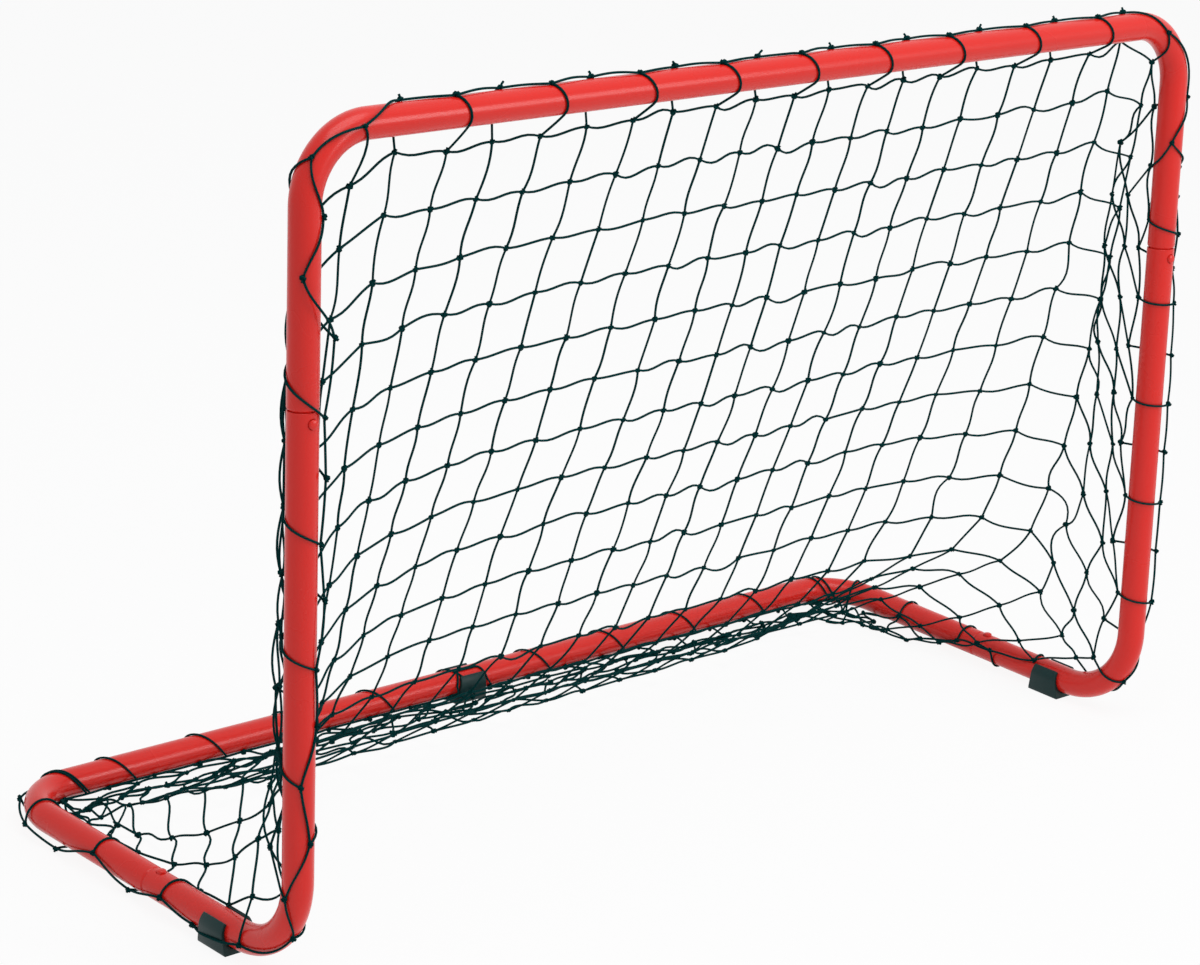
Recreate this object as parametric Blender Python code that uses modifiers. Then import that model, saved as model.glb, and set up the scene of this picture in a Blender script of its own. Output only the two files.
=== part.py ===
# Knock-down floorball goal: a bent tube frame in four pieces, four snap buttons, three clip feet,
# and a knotted net laced to the tubes.
#
# Metres, +Z up. The goal opens towards -Y and its left post is at -X. The origin is on the floor,
# in the middle of the frame's footprint.

import math

import bmesh
import bpy
import numpy as np
from mathutils import Matrix, Vector

# Overall size of the frame
GOAL_WIDTH = 0.900
GOAL_HEIGHT = 0.600
FLOOR_DEPTH = 0.342  # from the foot of a post's axis to the axis of the rear bar
CROSSBAR_SETBACK = 0.034  # how far the posts lean back over their height

# Frame tube
TUBE_DIAMETER = 0.022
TUBE_WALL = 0.0012
TOP_BEND_RADIUS = 0.050
FOOT_BEND_RADIUS = 0.060
REAR_BEND_RADIUS = 0.048
BEND_STEPS = 8

# Joints between the frame pieces
POST_SEAM_HEIGHT = 0.406  # rim of the lower post above the floor
FLOOR_SEAM_DEPTH = 0.164  # rim of the floor tube behind the foot of the post
SPIGOT_LENGTH = 0.045
SPIGOT_CLEARANCE = 0.0003
SEAM_GAP = 0.0003
NECK_TAPER = 0.0022

# Snap buttons and their leaf springs
BUTTON_DIAMETER = 0.007
BUTTON_HOLE_CLEARANCE = 0.0004
BUTTON_FROM_RIM = 0.0075
BUTTON_PROUD = 0.0020
BUTTON_DOME = 0.0011
BUTTON_FLANGE_DIAMETER = 0.0090
BUTTON_FLANGE_THICKNESS = 0.0010
SPRING_WIDTH = 0.0050
SPRING_THICKNESS = 0.0005
SPRING_LENGTH = 0.029
SPRING_BEND_HEIGHT = 0.0024
SEAT_GAP = 0.0003

# Clip feet
FOOT_SOLE = 0.0040  # the floor tubes stand this high
FOOT_CLEARANCE = 0.0003
FOOT_WALL = 0.0026
FOOT_TOP_LENGTH = 0.024
FOOT_SOLE_LENGTH = 0.032
FOOT_SOLE_WIDTH = 0.024
FOOT_OPENING = math.radians(100)
FOOT_SETBACK = 0.080  # side feet, behind the foot of the post

# Net and the cord that laces it to the tubes
CORD_DIAMETER = 0.0015
CORD_GAP = 0.0005
LACING_PITCH = 0.0865
LACING_STEPS = 8
NET_CORD = 0.0018
NET_COLUMNS = 20
NET_ROWS = 13
NET_SIDE_INSET = 0.012  # outer column, inwards from the axis of the post
NET_CLEARANCE = 0.0003
NET_CORNER_HEIGHT = 0.087  # of the crease towards the rear corner, above the floor tube
NET_CORNER_START = 0.170
NET_HANG = (0.115, 0.43, 0.20)
NET_EDGE_POWER = 4.6
NET_WAVE = 0.0035
SIDE_COLUMNS = 6
SIDE_ROWS = 3
SIDE_NET_END = 0.285

# Worked out from the sizes above
tubeRadius = TUBE_DIAMETER / 2
halfWidth = GOAL_WIDTH / 2 - tubeRadius
floorAxis = FOOT_SOLE + tubeRadius
postHeight = GOAL_HEIGHT - tubeRadius - floorAxis
boreRadius = tubeRadius - TUBE_WALL
spigotRadius = boreRadius - SPIGOT_CLEARANCE
spigotBore = spigotRadius - TUBE_WALL
cordRadius = CORD_DIAMETER / 2
lacingRadius = (tubeRadius + CORD_GAP + cordRadius) / math.cos(math.pi / LACING_STEPS)
netOffset = lacingRadius + cordRadius + NET_CLEARANCE + NET_CORD / 2
postLean = Vector((0, CROSSBAR_SETBACK, postHeight)).normalized()
footTurn = math.pi / 2 + math.atan2(CROSSBAR_SETBACK, postHeight)
footTangent = FOOT_BEND_RADIUS * math.tan(footTurn / 2)
foremost = footTangent - FOOT_BEND_RADIUS - tubeRadius
middle = (foremost + FLOOR_DEPTH + tubeRadius) / 2


def place(x, y, z):
    """A point given by the foot of the posts' axes, in the goal's own frame."""
    return Vector((x, y - middle, z + floorAxis))


def setUp(name):
    for item in list(bpy.data.objects):
        bpy.data.objects.remove(item, do_unlink=True)
    found = []
    for label in (name, name + "_cutters"):
        group = bpy.data.collections.new(label)
        bpy.context.scene.collection.children.link(group)
        found.append(group)
    return found


def material(name, colour, roughness, metallic=0.0):
    made = bpy.data.materials.new(name)
    made.use_nodes = True
    shader = made.node_tree.nodes["Principled BSDF"]
    shader.inputs["Base Color"].default_value = (*colour, 1)
    shader.inputs["Roughness"].default_value = roughness
    shader.inputs["Metallic"].default_value = metallic
    made.diffuse_color = (*colour, 1)
    return made


def roundedPath(corners, radii, steps):
    """The polyline through the corners, with each inner corner turned into an arc."""
    points = [corners[0]]
    for before, corner, after, radius in zip(corners, corners[1:], corners[2:], radii):
        inward = (before - corner).normalized()
        onward = (after - corner).normalized()
        half = inward.angle(onward) / 2
        centre = corner + (inward + onward).normalized() * radius / math.sin(half)
        start = corner + inward * radius / math.tan(half) - centre
        end = corner + onward * radius / math.tan(half) - centre
        turn = start.angle(end)
        for step in range(steps + 1):
            share = step / steps
            mix = start * math.sin((1 - share) * turn) + end * math.sin(share * turn)
            points.append(centre + mix / math.sin(turn))
    points.append(corners[-1])
    return points


def sweep(name, points, scales, radius, resolution, caps, group, look):
    """A round bar along the points, as a mesh."""
    curve = bpy.data.curves.new(name + "_path", "CURVE")
    curve.dimensions = "3D"
    curve.bevel_depth = radius
    curve.bevel_resolution = resolution
    curve.use_fill_caps = caps
    spline = curve.splines.new("POLY")
    spline.points.add(len(points) - 1)
    for point, place_, scale in zip(spline.points, points, scales):
        point.co = (*place_, 1)
        point.radius = scale
    guide = bpy.data.objects.new(name + "_path", curve)
    group.objects.link(guide)
    evaluated = guide.evaluated_get(bpy.context.evaluated_depsgraph_get())
    mesh = bpy.data.meshes.new_from_object(evaluated)
    shape = bmesh.new()
    shape.from_mesh(mesh)
    bmesh.ops.remove_doubles(shape, verts=shape.verts, dist=1e-6)
    bmesh.ops.recalc_face_normals(shape, faces=shape.faces)
    return finish(name, shape, mesh, guide.matrix_world.copy(), group, look, guide)


def finish(name, shape, mesh, matrix, group, look, guide=None):
    shape.to_mesh(mesh)
    shape.free()
    mesh.name = name
    mesh.materials.clear()
    mesh.materials.append(look)
    mesh.shade_smooth()
    mesh.set_sharp_from_angle(angle=math.radians(40))
    made = bpy.data.objects.new(name, mesh)
    made.matrix_world = matrix
    group.objects.link(made)
    if guide:
        bpy.data.objects.remove(guide, do_unlink=True)
    return made


def frameTube(name, points, scales, group, look):
    """A hollow tube with open ends; the scales swage it down to its spigots."""
    made = sweep(name, points, scales, tubeRadius, 6, False, group, look)
    shell = made.modifiers.new("wall", "SOLIDIFY")
    shell.thickness = TUBE_WALL
    shell.offset = -1
    shell.use_even_offset = True
    return made


def drill(target, name, centre, outward, diameter, cutters):
    """Cut a round hole through the tube wall on the side that outward points to."""
    length = 2 * tubeRadius
    bpy.ops.mesh.primitive_cylinder_add(vertices=16, radius=diameter / 2, depth=length)
    cutter = bpy.context.object
    cutter.name = name
    for owner in list(cutter.users_collection):
        owner.objects.unlink(cutter)
    cutters.objects.link(cutter)
    cutter.location = centre + outward * length / 2
    cutter.rotation_euler = outward.to_track_quat("Z", "Y").to_euler()
    cutter.hide_render = True
    cutter.display_type = "WIRE"
    hole = target.modifiers.new(name, "BOOLEAN")
    hole.operation = "DIFFERENCE"
    hole.solver = "EXACT"
    hole.object = cutter


def spigotEnd(rim, along):
    """Points and scales from the tip of a spigot to the full tube; along leaves the socket."""
    swaged = spigotRadius / tubeRadius
    tip = rim - along * SPIGOT_LENGTH
    neck = rim + along * SEAM_GAP
    shoulder = rim + along * (SEAM_GAP + NECK_TAPER)
    return [tip, neck, shoulder], [swaged, swaged, 1.0]


def button(name, rim, along, outward, group, look):
    """A domed button on a flange, turned about its own axis."""
    centre = rim - along * BUTTON_FROM_RIM
    top = tubeRadius + BUTTON_PROUD
    flangeTop = flangeSeat()
    stem = BUTTON_DIAMETER / 2
    flange = BUTTON_FLANGE_DIAMETER / 2
    profile = [
        (0, top),
        (stem * 0.55, top - BUTTON_DOME * 0.25),
        (stem * 0.88, top - BUTTON_DOME * 0.65),
        (stem, top - BUTTON_DOME),
        (stem, flangeTop),
        (flange, flangeTop),
        (flange, flangeTop - BUTTON_FLANGE_THICKNESS),
        (0, flangeTop - BUTTON_FLANGE_THICKNESS),
    ]
    mesh = bpy.data.meshes.new(name)
    shape = bmesh.new()
    verts = [shape.verts.new((r, 0, z)) for r, z in profile]
    for a, b in zip(verts, verts[1:]):
        shape.edges.new((a, b))
    turned = outward.to_track_quat("Z", "Y").to_matrix().to_4x4()
    made = finish(name, shape, mesh, Matrix.Translation(centre) @ turned, group, look)
    screw = made.modifiers.new("turn", "SCREW")
    screw.steps = 16
    screw.render_steps = 16
    screw.use_merge_vertices = True
    screw.merge_threshold = 0.00001
    screw.use_smooth_shade = True
    return made


def flangeSeat():
    """Height of the flange's upper face, just clear of the round bore of the spigot."""
    flange = BUTTON_FLANGE_DIAMETER / 2
    return math.sqrt(spigotBore**2 - flange**2) - SEAT_GAP


def leafSpring(name, rim, along, outward, group, look):
    """A V of spring strip: one leg under the button, the other on the far wall of the spigot."""
    under = flangeSeat() - BUTTON_FLANGE_THICKNESS - SEAT_GAP - SPRING_THICKNESS / 2
    wall = math.sqrt(spigotBore**2 - (SPRING_WIDTH / 2) ** 2)
    seat = -(wall - SEAT_GAP - SPRING_THICKNESS / 2)
    near = BUTTON_FROM_RIM - BUTTON_FLANGE_DIAMETER / 2
    flat = BUTTON_FROM_RIM + BUTTON_FLANGE_DIAMETER / 2 + SPRING_THICKNESS
    far = near + SPRING_LENGTH
    half = SPRING_BEND_HEIGHT / 2
    line = [(near, under), (flat, under), (far - half, half)]
    for step in range(1, 6):
        turn = math.pi / 2 - step * math.pi / 6
        line.append((far - half + half * math.cos(turn), half * math.sin(turn)))
    line += [(far - half, -half), (near + SPRING_THICKNESS, seat + SPRING_THICKNESS), (near, seat)]
    across = along.cross(outward) * SPRING_WIDTH / 2
    mesh = bpy.data.meshes.new(name)
    shape = bmesh.new()
    origin = rim - along * BUTTON_FROM_RIM
    rows = []
    for depth, height in line:
        point = along * (BUTTON_FROM_RIM - depth) + outward * height
        rows.append([shape.verts.new(point - across), shape.verts.new(point + across)])
    for a, b in zip(rows, rows[1:]):
        shape.faces.new((a[0], b[0], b[1], a[1]))
    made = finish(name, shape, mesh, Matrix.Translation(origin), group, look)
    strip = made.modifiers.new("strip", "SOLIDIFY")
    strip.thickness = SPRING_THICKNESS
    strip.offset = 0
    strip.use_even_offset = True
    return made


def foot(name, centre, along, group, look):
    """A clip that grips the tube from below, open at the top, longer at its flat sole."""
    inner = tubeRadius + FOOT_CLEARANCE
    outer = inner + FOOT_WALL
    base = -(tubeRadius + FOOT_SOLE)
    first = FOOT_OPENING / 2
    steps = 14
    outline = []
    for step in range(steps + 1):
        turn = first + (2 * math.pi - 2 * first) * step / steps
        outline.append((inner * math.sin(turn), inner * math.cos(turn)))
    side = [(outer, first), (outer, (first + math.pi / 2) / 2), (outer, math.pi / 2)]
    right = [(r * math.sin(a), r * math.cos(a)) for r, a in side]
    right += [(FOOT_SOLE_WIDTH / 2 + 0.0008, base * 0.62), (FOOT_SOLE_WIDTH / 2, base)]
    left = [(-x, z) for x, z in right]
    outline = outline + left + right[::-1]
    curve = bpy.data.curves.new(name + "_outline", "CURVE")
    curve.dimensions = "2D"
    curve.fill_mode = "BOTH"
    curve.extrude = FOOT_SOLE_LENGTH / 2
    spline = curve.splines.new("POLY")
    spline.points.add(len(outline) - 1)
    for point, (x, z) in zip(spline.points, outline):
        point.co = (x, z, 0, 1)
    spline.use_cyclic_u = True
    guide = bpy.data.objects.new(name + "_outline", curve)
    group.objects.link(guide)
    evaluated = guide.evaluated_get(bpy.context.evaluated_depsgraph_get())
    mesh = bpy.data.meshes.new_from_object(evaluated)
    shape = bmesh.new()
    shape.from_mesh(mesh)
    bmesh.ops.remove_doubles(shape, verts=shape.verts, dist=1e-6)
    lean = (FOOT_TOP_LENGTH / FOOT_SOLE_LENGTH - 1) / (outer * math.cos(first) - base)
    for vert in shape.verts:
        vert.co.z *= 1 + lean * (vert.co.y - base)
    bmesh.ops.recalc_face_normals(shape, faces=shape.faces)
    up = Vector((0, 0, 1))
    turned = Matrix((up.cross(along), up, along)).transposed()
    if turned.determinant() < 0:
        turned = Matrix((along.cross(up), up, along)).transposed()
    matrix = Matrix.Translation(centre) @ turned.to_4x4()
    return finish(name, shape, mesh, matrix, group, look, guide)


def along(points, distance):
    """Place and direction at a distance along a polyline."""
    for a, b in zip(points, points[1:]):
        step = (b - a).length
        if distance <= step + 1e-9:
            return a + (b - a) * (distance / step), (b - a) / step
        distance -= step
    return points[-1].copy(), (points[-1] - points[-2]).normalized()


def frames(points, first, total, count):
    """Places along the path with a reference direction that is carried along without twist."""
    found = []
    place_, direction = along(points, 0)
    reference = (first - direction * first.dot(direction)).normalized()
    for step in range(count + 1):
        place_, onward = along(points, total * step / count)
        turn = direction.rotation_difference(onward)
        reference = (turn @ reference).normalized()
        direction = onward
        found.append((place_, direction, reference.copy()))
    return found


def lacing(name, points, first, hand, rest, group, look):
    """A cord wound round the tube; rest is the middle and length of a straight run at first."""
    total = sum((b - a).length for a, b in zip(points, points[1:]))
    middle_, length = rest
    step = LACING_PITCH / LACING_STEPS
    stops = []
    for way in (-1, 1):
        edge = middle_ + way * length / 2
        room = edge if way < 0 else total - edge
        for count in range(int(room / step) + 1):
            stops.append((edge + way * count * step, way * count / LACING_STEPS))
    stops = sorted(set(stops))
    fine = 400
    table = frames(points, first, total, fine)
    cord = []
    for at, phase in stops:
        place_, direction, reference = table[min(fine, round(at / total * fine))]
        place_, _ = along(points, at)
        side = direction.cross(reference)
        turn = hand * 2 * math.pi * phase
        cord.append(place_ + (reference * math.cos(turn) + side * math.sin(turn)) * lacingRadius)
    return sweep(name, cord, [1.0] * len(cord), cordRadius, 1, True, group, look)


def lattice(name, grid, group, look):
    """Cords along every line of a grid of points, joined where they cross."""
    mesh = bpy.data.meshes.new(name)
    shape = bmesh.new()
    verts = [[shape.verts.new(point) for point in row] for row in grid]
    for upper, lower in zip(verts, verts[1:]):
        for a, b, c, d in zip(upper, upper[1:], lower[1:], lower):
            shape.faces.new((a, d, c, b))
    shape.normal_update()
    lines = set(shape.verts)
    gaps = bmesh.ops.inset_individual(
        shape, faces=shape.faces[:], thickness=NET_CORD / 2, use_even_offset=True
    )
    strips = set(gaps["faces"])
    openings = [face for face in shape.faces if face not in strips]
    bmesh.ops.delete(shape, geom=openings, context="FACES_ONLY")
    shape.normal_update()
    lines = {v for v in shape.verts if v in lines}
    normals = {v: v.normal.copy() for v in lines}
    rim = [edge for edge in shape.edges if edge.is_boundary and set(edge.verts) <= lines]
    copied = bmesh.ops.duplicate(shape, geom=shape.verts[:] + shape.edges[:] + shape.faces[:])
    twin = copied["vert_map"]
    matched = copied["edge_map"]
    backs = [face for face in copied["geom"] if isinstance(face, bmesh.types.BMFace)]
    bmesh.ops.reverse_faces(shape, faces=backs)
    rims = rim + [matched[edge] for edge in rim]
    pairs = [(v, twin[v]) for v in lines]
    for v, other in pairs:
        offset = normals[v] * NET_CORD / 2
        v.co += offset
        other.co -= offset
    bmesh.ops.bridge_loops(shape, edges=rims)
    bmesh.ops.remove_doubles(shape, verts=shape.verts, dist=1e-7)
    bmesh.ops.recalc_face_normals(shape, faces=shape.faces)
    return finish(name, shape, mesh, Matrix(), group, look)


def spaced(profile, count):
    """Points at equal distances along a profile of (y, z) points."""
    line = np.array(profile)
    length = np.r_[0, np.cumsum(np.hypot(*np.diff(line, axis=0).T))]
    at = np.linspace(0, length[-1], count + 1)
    return np.stack([np.interp(at, length, line[:, 0]), np.interp(at, length, line[:, 1])], 1)


def topEdge(x):
    """Where the net's upper edge lies behind the crossbar and its bends."""
    bendStart = halfWidth - TOP_BEND_RADIUS
    over = max(0.0, abs(x) - bendStart)
    drop = TOP_BEND_RADIUS - math.sqrt(max(0.0, TOP_BEND_RADIUS**2 - over**2))
    share = min(1.0, max(0.0, (bendStart - abs(x)) / TOP_BEND_RADIUS))
    rise = math.radians(5) * share * share * (3 - 2 * share)
    height = postHeight - drop
    setback = CROSSBAR_SETBACK * height / postHeight
    return setback + netOffset * math.cos(rise), height + netOffset * math.sin(rise)


def middleProfile():
    """The net's hang in the middle of the goal, from the crossbar to the rear bar."""
    floor = NET_CLEARANCE + NET_CORD / 2 - floorAxis
    start, slope, flare = NET_HANG
    line = [topEdge(0)]
    for step in range(1, 20):
        drop = step / 20
        setback = start + slope * drop + flare * drop**5
        line.append((setback * FLOOR_DEPTH, (1 - drop) * postHeight))
    line.append((0.73 * FLOOR_DEPTH, (line[-1][1] + floor) * 0.45))
    line.append((0.79 * FLOOR_DEPTH, floor))
    line.append((0.88 * FLOOR_DEPTH, floor))
    rise = math.radians(8)
    line.append((FLOOR_DEPTH - netOffset * math.cos(rise), netOffset * math.sin(rise)))
    return line


def creaseHeight(y):
    """Height of the crease over the floor tube, from the post back to the rear corner."""
    end, low = cornerPoint()
    share = min(1.0, max(0.0, (y - NET_CORNER_START) / (end - NET_CORNER_START)))
    near = max(0.0, 1 - y / NET_CORNER_START)
    return NET_CORNER_HEIGHT + 0.02 * near - (NET_CORNER_HEIGHT - low) * share**1.4 + low * 0.6


def cornerPoint():
    """Where the net ends on top of the rear bend."""
    out = halfWidth - NET_SIDE_INSET - (halfWidth - REAR_BEND_RADIUS)
    back = math.sqrt(REAR_BEND_RADIUS**2 - out**2)
    return FLOOR_DEPTH - REAR_BEND_RADIUS + back, netOffset


def edgeProfile():
    """The net's outer column: down behind the post, then back along the crease."""
    setback = math.sqrt(netOffset**2 - NET_SIDE_INSET**2)
    line = [topEdge(halfWidth - NET_SIDE_INSET)]
    turnHeight = creaseHeight(0) + 0.02
    for step in range(1, 16):
        height = line[0][1] + (turnHeight - line[0][1]) * step / 15
        line.append((CROSSBAR_SETBACK * height / postHeight + setback, height))
    for step in range(1, 20):
        y = 0.032 + (cornerPoint()[0] - 0.032) * step / 20
        line.append((y, creaseHeight(y)))
    line.append(cornerPoint())
    return line


def backNet(group, look):
    centre = spaced(middleProfile(), NET_ROWS)
    edge = spaced(edgeProfile(), NET_ROWS)
    reach = halfWidth - NET_SIDE_INSET
    grid = []
    for row in range(NET_ROWS + 1):
        line = []
        for column in range(NET_COLUMNS + 1):
            x = reach * (2 * column / NET_COLUMNS - 1)
            share = abs(x / reach) ** NET_EDGE_POWER
            y, z = centre[row] * (1 - share) + edge[row] * share
            calm = math.sin(math.pi * row / NET_ROWS) * (1 - share)
            if 0 < row < NET_ROWS - 2:
                y += NET_WAVE * calm * math.sin(2.1 * column + 1.3 * row)
                z += NET_WAVE * calm * math.sin(1.7 * column + 2.9 * row)
            if row == 0:
                y, z = topEdge(x)
            line.append(place(x, y, z))
        grid.append(line)
    return lattice("net_back", grid, group, look)


def sideNet(name, side, group, look):
    """The small panel between the crease, the foot of the post and the floor tube."""
    topX = halfWidth - NET_SIDE_INSET + NET_CORD + NET_CLEARANCE
    lowX = halfWidth - NET_SIDE_INSET / 2
    inner = FOOT_BEND_RADIUS - netOffset
    grid = [[] for _ in range(SIDE_ROWS + 1)]
    for column in range(SIDE_COLUMNS + 1):
        y = 0.019 + (SIDE_NET_END - 0.019) * column / SIDE_COLUMNS
        top = (y, creaseHeight(max(y, 0.034)))
        low = (y, netOffset)
        if column == 0:
            turn = math.radians(35)
            low = (footTangent - inner * math.cos(turn), FOOT_BEND_RADIUS - inner * math.sin(turn))
        for row in range(SIDE_ROWS + 1):
            share = row / SIDE_ROWS
            x = topX + (lowX - topX) * share
            z = top[1] + (low[1] - top[1]) * share
            grid[row].append(place(side * x, top[0] + (low[0] - top[0]) * share, z))
    if side > 0:
        grid = grid[::-1]
    return lattice(name, grid, group, look)


def hang(joint, where, members, group):
    """An empty on the joint's axis that carries the pieces which move together."""
    pivot = bpy.data.objects.new(joint, None)
    pivot.empty_display_size = 0.05
    pivot.location = where
    group.objects.link(pivot)
    bpy.context.view_layer.update()
    for member in members:
        member.parent = pivot
        member.matrix_parent_inverse = pivot.matrix_world.inverted()


def build():
    goal, cutters = setUp("floorball_goal")
    red = (0.74, 0.045, 0.03)
    steel = (0.72, 0.73, 0.75)
    green = (0.006, 0.035, 0.033)
    back = Vector((0, 1, 0))
    up = Vector((0, 0, 1))
    postFront = Vector((0, -postLean.z, postLean.y))
    seamDrop = POST_SEAM_HEIGHT - floorAxis
    rimSetback = CROSSBAR_SETBACK * seamDrop / postHeight
    topMembers, rearMembers = [], []
    sockets = {}

    # Lower posts, each in one piece with its floor tube
    for label, side in (("left", -1), ("right", 1)):
        floorRim = place(side * halfWidth, FLOOR_SEAM_DEPTH, 0)
        corner = place(side * halfWidth, 0, 0)
        postRim = place(side * halfWidth, rimSetback, seamDrop)
        path = roundedPath([floorRim, corner, postRim], [FOOT_BEND_RADIUS], BEND_STEPS)
        look = material(label + "_side_tube", red, 0.32)
        tube = frameTube(label + "_side_tube", path, [1.0] * len(path), goal, look)
        sockets[label + "_post"] = (postRim, postLean, postFront)
        sockets[label + "_floor"] = (floorRim, back, up)
        hole = BUTTON_DIAMETER + 2 * BUTTON_HOLE_CLEARANCE
        for seam in ("post", "floor"):
            rim, onward, outward = sockets[f"{label}_{seam}"]
            centre = rim - onward * BUTTON_FROM_RIM
            drill(tube, f"{label}_{seam}_hole", centre, outward, hole, cutters)

        # Foot under the floor tube, and the lacing from one rim to the other
        footPlace = place(side * halfWidth, FOOT_SETBACK, 0)
        foot(label + "_foot", footPlace, back, goal, material(label + "_foot", green, 0.6))
        clear = BUTTON_FROM_RIM + BUTTON_DIAMETER
        laced = [floorRim - back * clear] + path[1:-1] + [postRim - postLean * clear]
        rest = (FLOOR_SEAM_DEPTH - clear - FOOT_SETBACK, FOOT_SOLE_LENGTH + 0.006)
        look = material(label + "_side_lacing", green, 0.7)
        lacing(label + "_side_lacing", laced, up, side, rest, goal, look)

    # Upper frame: both upper posts and the crossbar
    leftRim = sockets["left_post"][0]
    rightRim = sockets["right_post"][0]
    leftPoints, leftScales = spigotEnd(leftRim, postLean)
    rightPoints, rightScales = spigotEnd(rightRim, postLean)
    topLeft = place(-halfWidth, CROSSBAR_SETBACK, postHeight)
    topRight = place(halfWidth, CROSSBAR_SETBACK, postHeight)
    corners = [leftPoints[-1], topLeft, topRight, rightPoints[-1]]
    bends = roundedPath(corners, [TOP_BEND_RADIUS] * 2, BEND_STEPS)
    path = leftPoints + bends[1:-1] + rightPoints[::-1]
    scales = leftScales + [1.0] * (len(bends) - 2) + rightScales[::-1]
    topTube = frameTube("top_frame_tube", path, scales, goal, material("top_frame_tube", red, 0.32))
    topMembers.append(topTube)
    start = postLean * 0.004
    laced = [leftPoints[-1] + start] + bends[1:-1] + [rightPoints[-1] + start]
    look = material("top_lacing", green, 0.7)
    total = sum((b - a).length for a, b in zip(laced, laced[1:]))
    topMembers.append(lacing("top_lacing", laced, back, 1, (total / 2, 0), goal, look))

    # Rear frame: the ends of the floor tubes and the rear bar
    leftRim = sockets["left_floor"][0]
    rightRim = sockets["right_floor"][0]
    leftPoints, leftScales = spigotEnd(leftRim, back)
    rightPoints, rightScales = spigotEnd(rightRim, back)
    rearLeft = place(-halfWidth, FLOOR_DEPTH, 0)
    rearRight = place(halfWidth, FLOOR_DEPTH, 0)
    corners = [leftPoints[-1], rearLeft, rearRight, rightPoints[-1]]
    bends = roundedPath(corners, [REAR_BEND_RADIUS] * 2, BEND_STEPS)
    path = leftPoints + bends[1:-1] + rightPoints[::-1]
    scales = leftScales + [1.0] * (len(bends) - 2) + rightScales[::-1]
    look = material("rear_frame_tube", red, 0.32)
    rearTube = frameTube("rear_frame_tube", path, scales, goal, look)
    rearMembers.append(rearTube)
    look = material("rear_foot", green, 0.6)
    rearPlace = place(0, FLOOR_DEPTH, 0)
    rearMembers.append(foot("rear_foot", rearPlace, Vector((1, 0, 0)), goal, look))
    start = back * 0.004
    laced = [leftPoints[-1] + start] + bends[1:-1] + [rightPoints[-1] + start]
    total = sum((b - a).length for a, b in zip(laced, laced[1:]))
    rest = (total / 2, FOOT_SOLE_LENGTH + 0.006)
    look = material("rear_lacing", green, 0.7)
    rearMembers.append(lacing("rear_lacing", laced, up, 1, rest, goal, look))

    # Snap buttons and springs, carried in the spigots
    hole = BUTTON_DIAMETER + 2 * BUTTON_HOLE_CLEARANCE
    for label, (rim, onward, outward) in sockets.items():
        onTop = label.endswith("post")
        tube = topTube if onTop else rearTube
        centre = rim - onward * BUTTON_FROM_RIM
        drill(tube, label + "_spigot_hole", centre, outward, hole, cutters)
        members = topMembers if onTop else rearMembers
        look = material(label + "_button", red, 0.32)
        members.append(button(label + "_button", rim, onward, outward, goal, look))
        look = material(label + "_spring", steel, 0.35, 1.0)
        members.append(leafSpring(label + "_spring", rim, onward, outward, goal, look))

    # Net
    backNet(goal, material("net_back", green, 0.8))
    sideNet("net_left_side", -1, goal, material("net_left_side", green, 0.8))
    sideNet("net_right_side", 1, goal, material("net_right_side", green, 0.8))

    hang("top_frame_slide", sockets["left_post"][0], topMembers, goal)
    hang("rear_frame_slide", sockets["left_floor"][0], rearMembers, goal)


build()
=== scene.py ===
import math

import bmesh
import bpy
import numpy as np
from mathutils import Matrix, Vector


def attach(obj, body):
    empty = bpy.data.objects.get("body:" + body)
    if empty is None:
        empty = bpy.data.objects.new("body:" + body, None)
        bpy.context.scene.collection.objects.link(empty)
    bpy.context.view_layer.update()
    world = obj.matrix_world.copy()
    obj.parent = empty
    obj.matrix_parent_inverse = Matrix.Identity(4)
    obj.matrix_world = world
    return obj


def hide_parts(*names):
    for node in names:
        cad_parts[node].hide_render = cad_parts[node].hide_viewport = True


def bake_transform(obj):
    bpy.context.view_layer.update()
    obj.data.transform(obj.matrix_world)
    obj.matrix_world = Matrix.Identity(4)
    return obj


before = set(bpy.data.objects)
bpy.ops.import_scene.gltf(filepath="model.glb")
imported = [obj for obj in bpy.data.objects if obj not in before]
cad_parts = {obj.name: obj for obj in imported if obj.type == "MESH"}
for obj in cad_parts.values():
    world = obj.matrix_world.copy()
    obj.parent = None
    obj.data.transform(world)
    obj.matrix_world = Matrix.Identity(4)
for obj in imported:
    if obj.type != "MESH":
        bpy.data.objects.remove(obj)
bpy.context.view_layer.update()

scene = bpy.context.scene
workshop = bpy.data.collections.new("workshop")
scene.collection.children.link(workshop)

# The goal's own measures, as in the part: x across, y back from the foot of the posts,
# z above the floor tubes' axis
goal = {
    "halfWidth": 0.439,
    "floorAxis": 0.015,
    "postHeight": 0.574,
    "setback": 0.034,
    "depth": 0.342,
    "tubeRadius": 0.011,
    "tubeWall": 0.0012,
    "rimRoll": 0.0003,
    "topBend": 0.050,
    "footBend": 0.060,
    "rearBend": 0.048,
    "postSeam": 0.406,
    "floorSeam": 0.164,
    "spigotLength": 0.045,
    "spigotClearance": 0.0003,
    "seamGap": 0.0003,
    "neckTaper": 0.0022,
    "buttonFromRim": 0.0075,
    "buttonHole": 0.0078,
    "footSetback": 0.080,
}
lean = np.array([0, goal["setback"], goal["postHeight"]])
lean = lean / np.linalg.norm(lean)
postFront = np.array([0, -lean[2], lean[1]])
backward = np.array([0, 1.0, 0])
upward = np.array([0, 0, 1.0])
leftward = np.array([-1.0, 0, 0])

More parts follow.
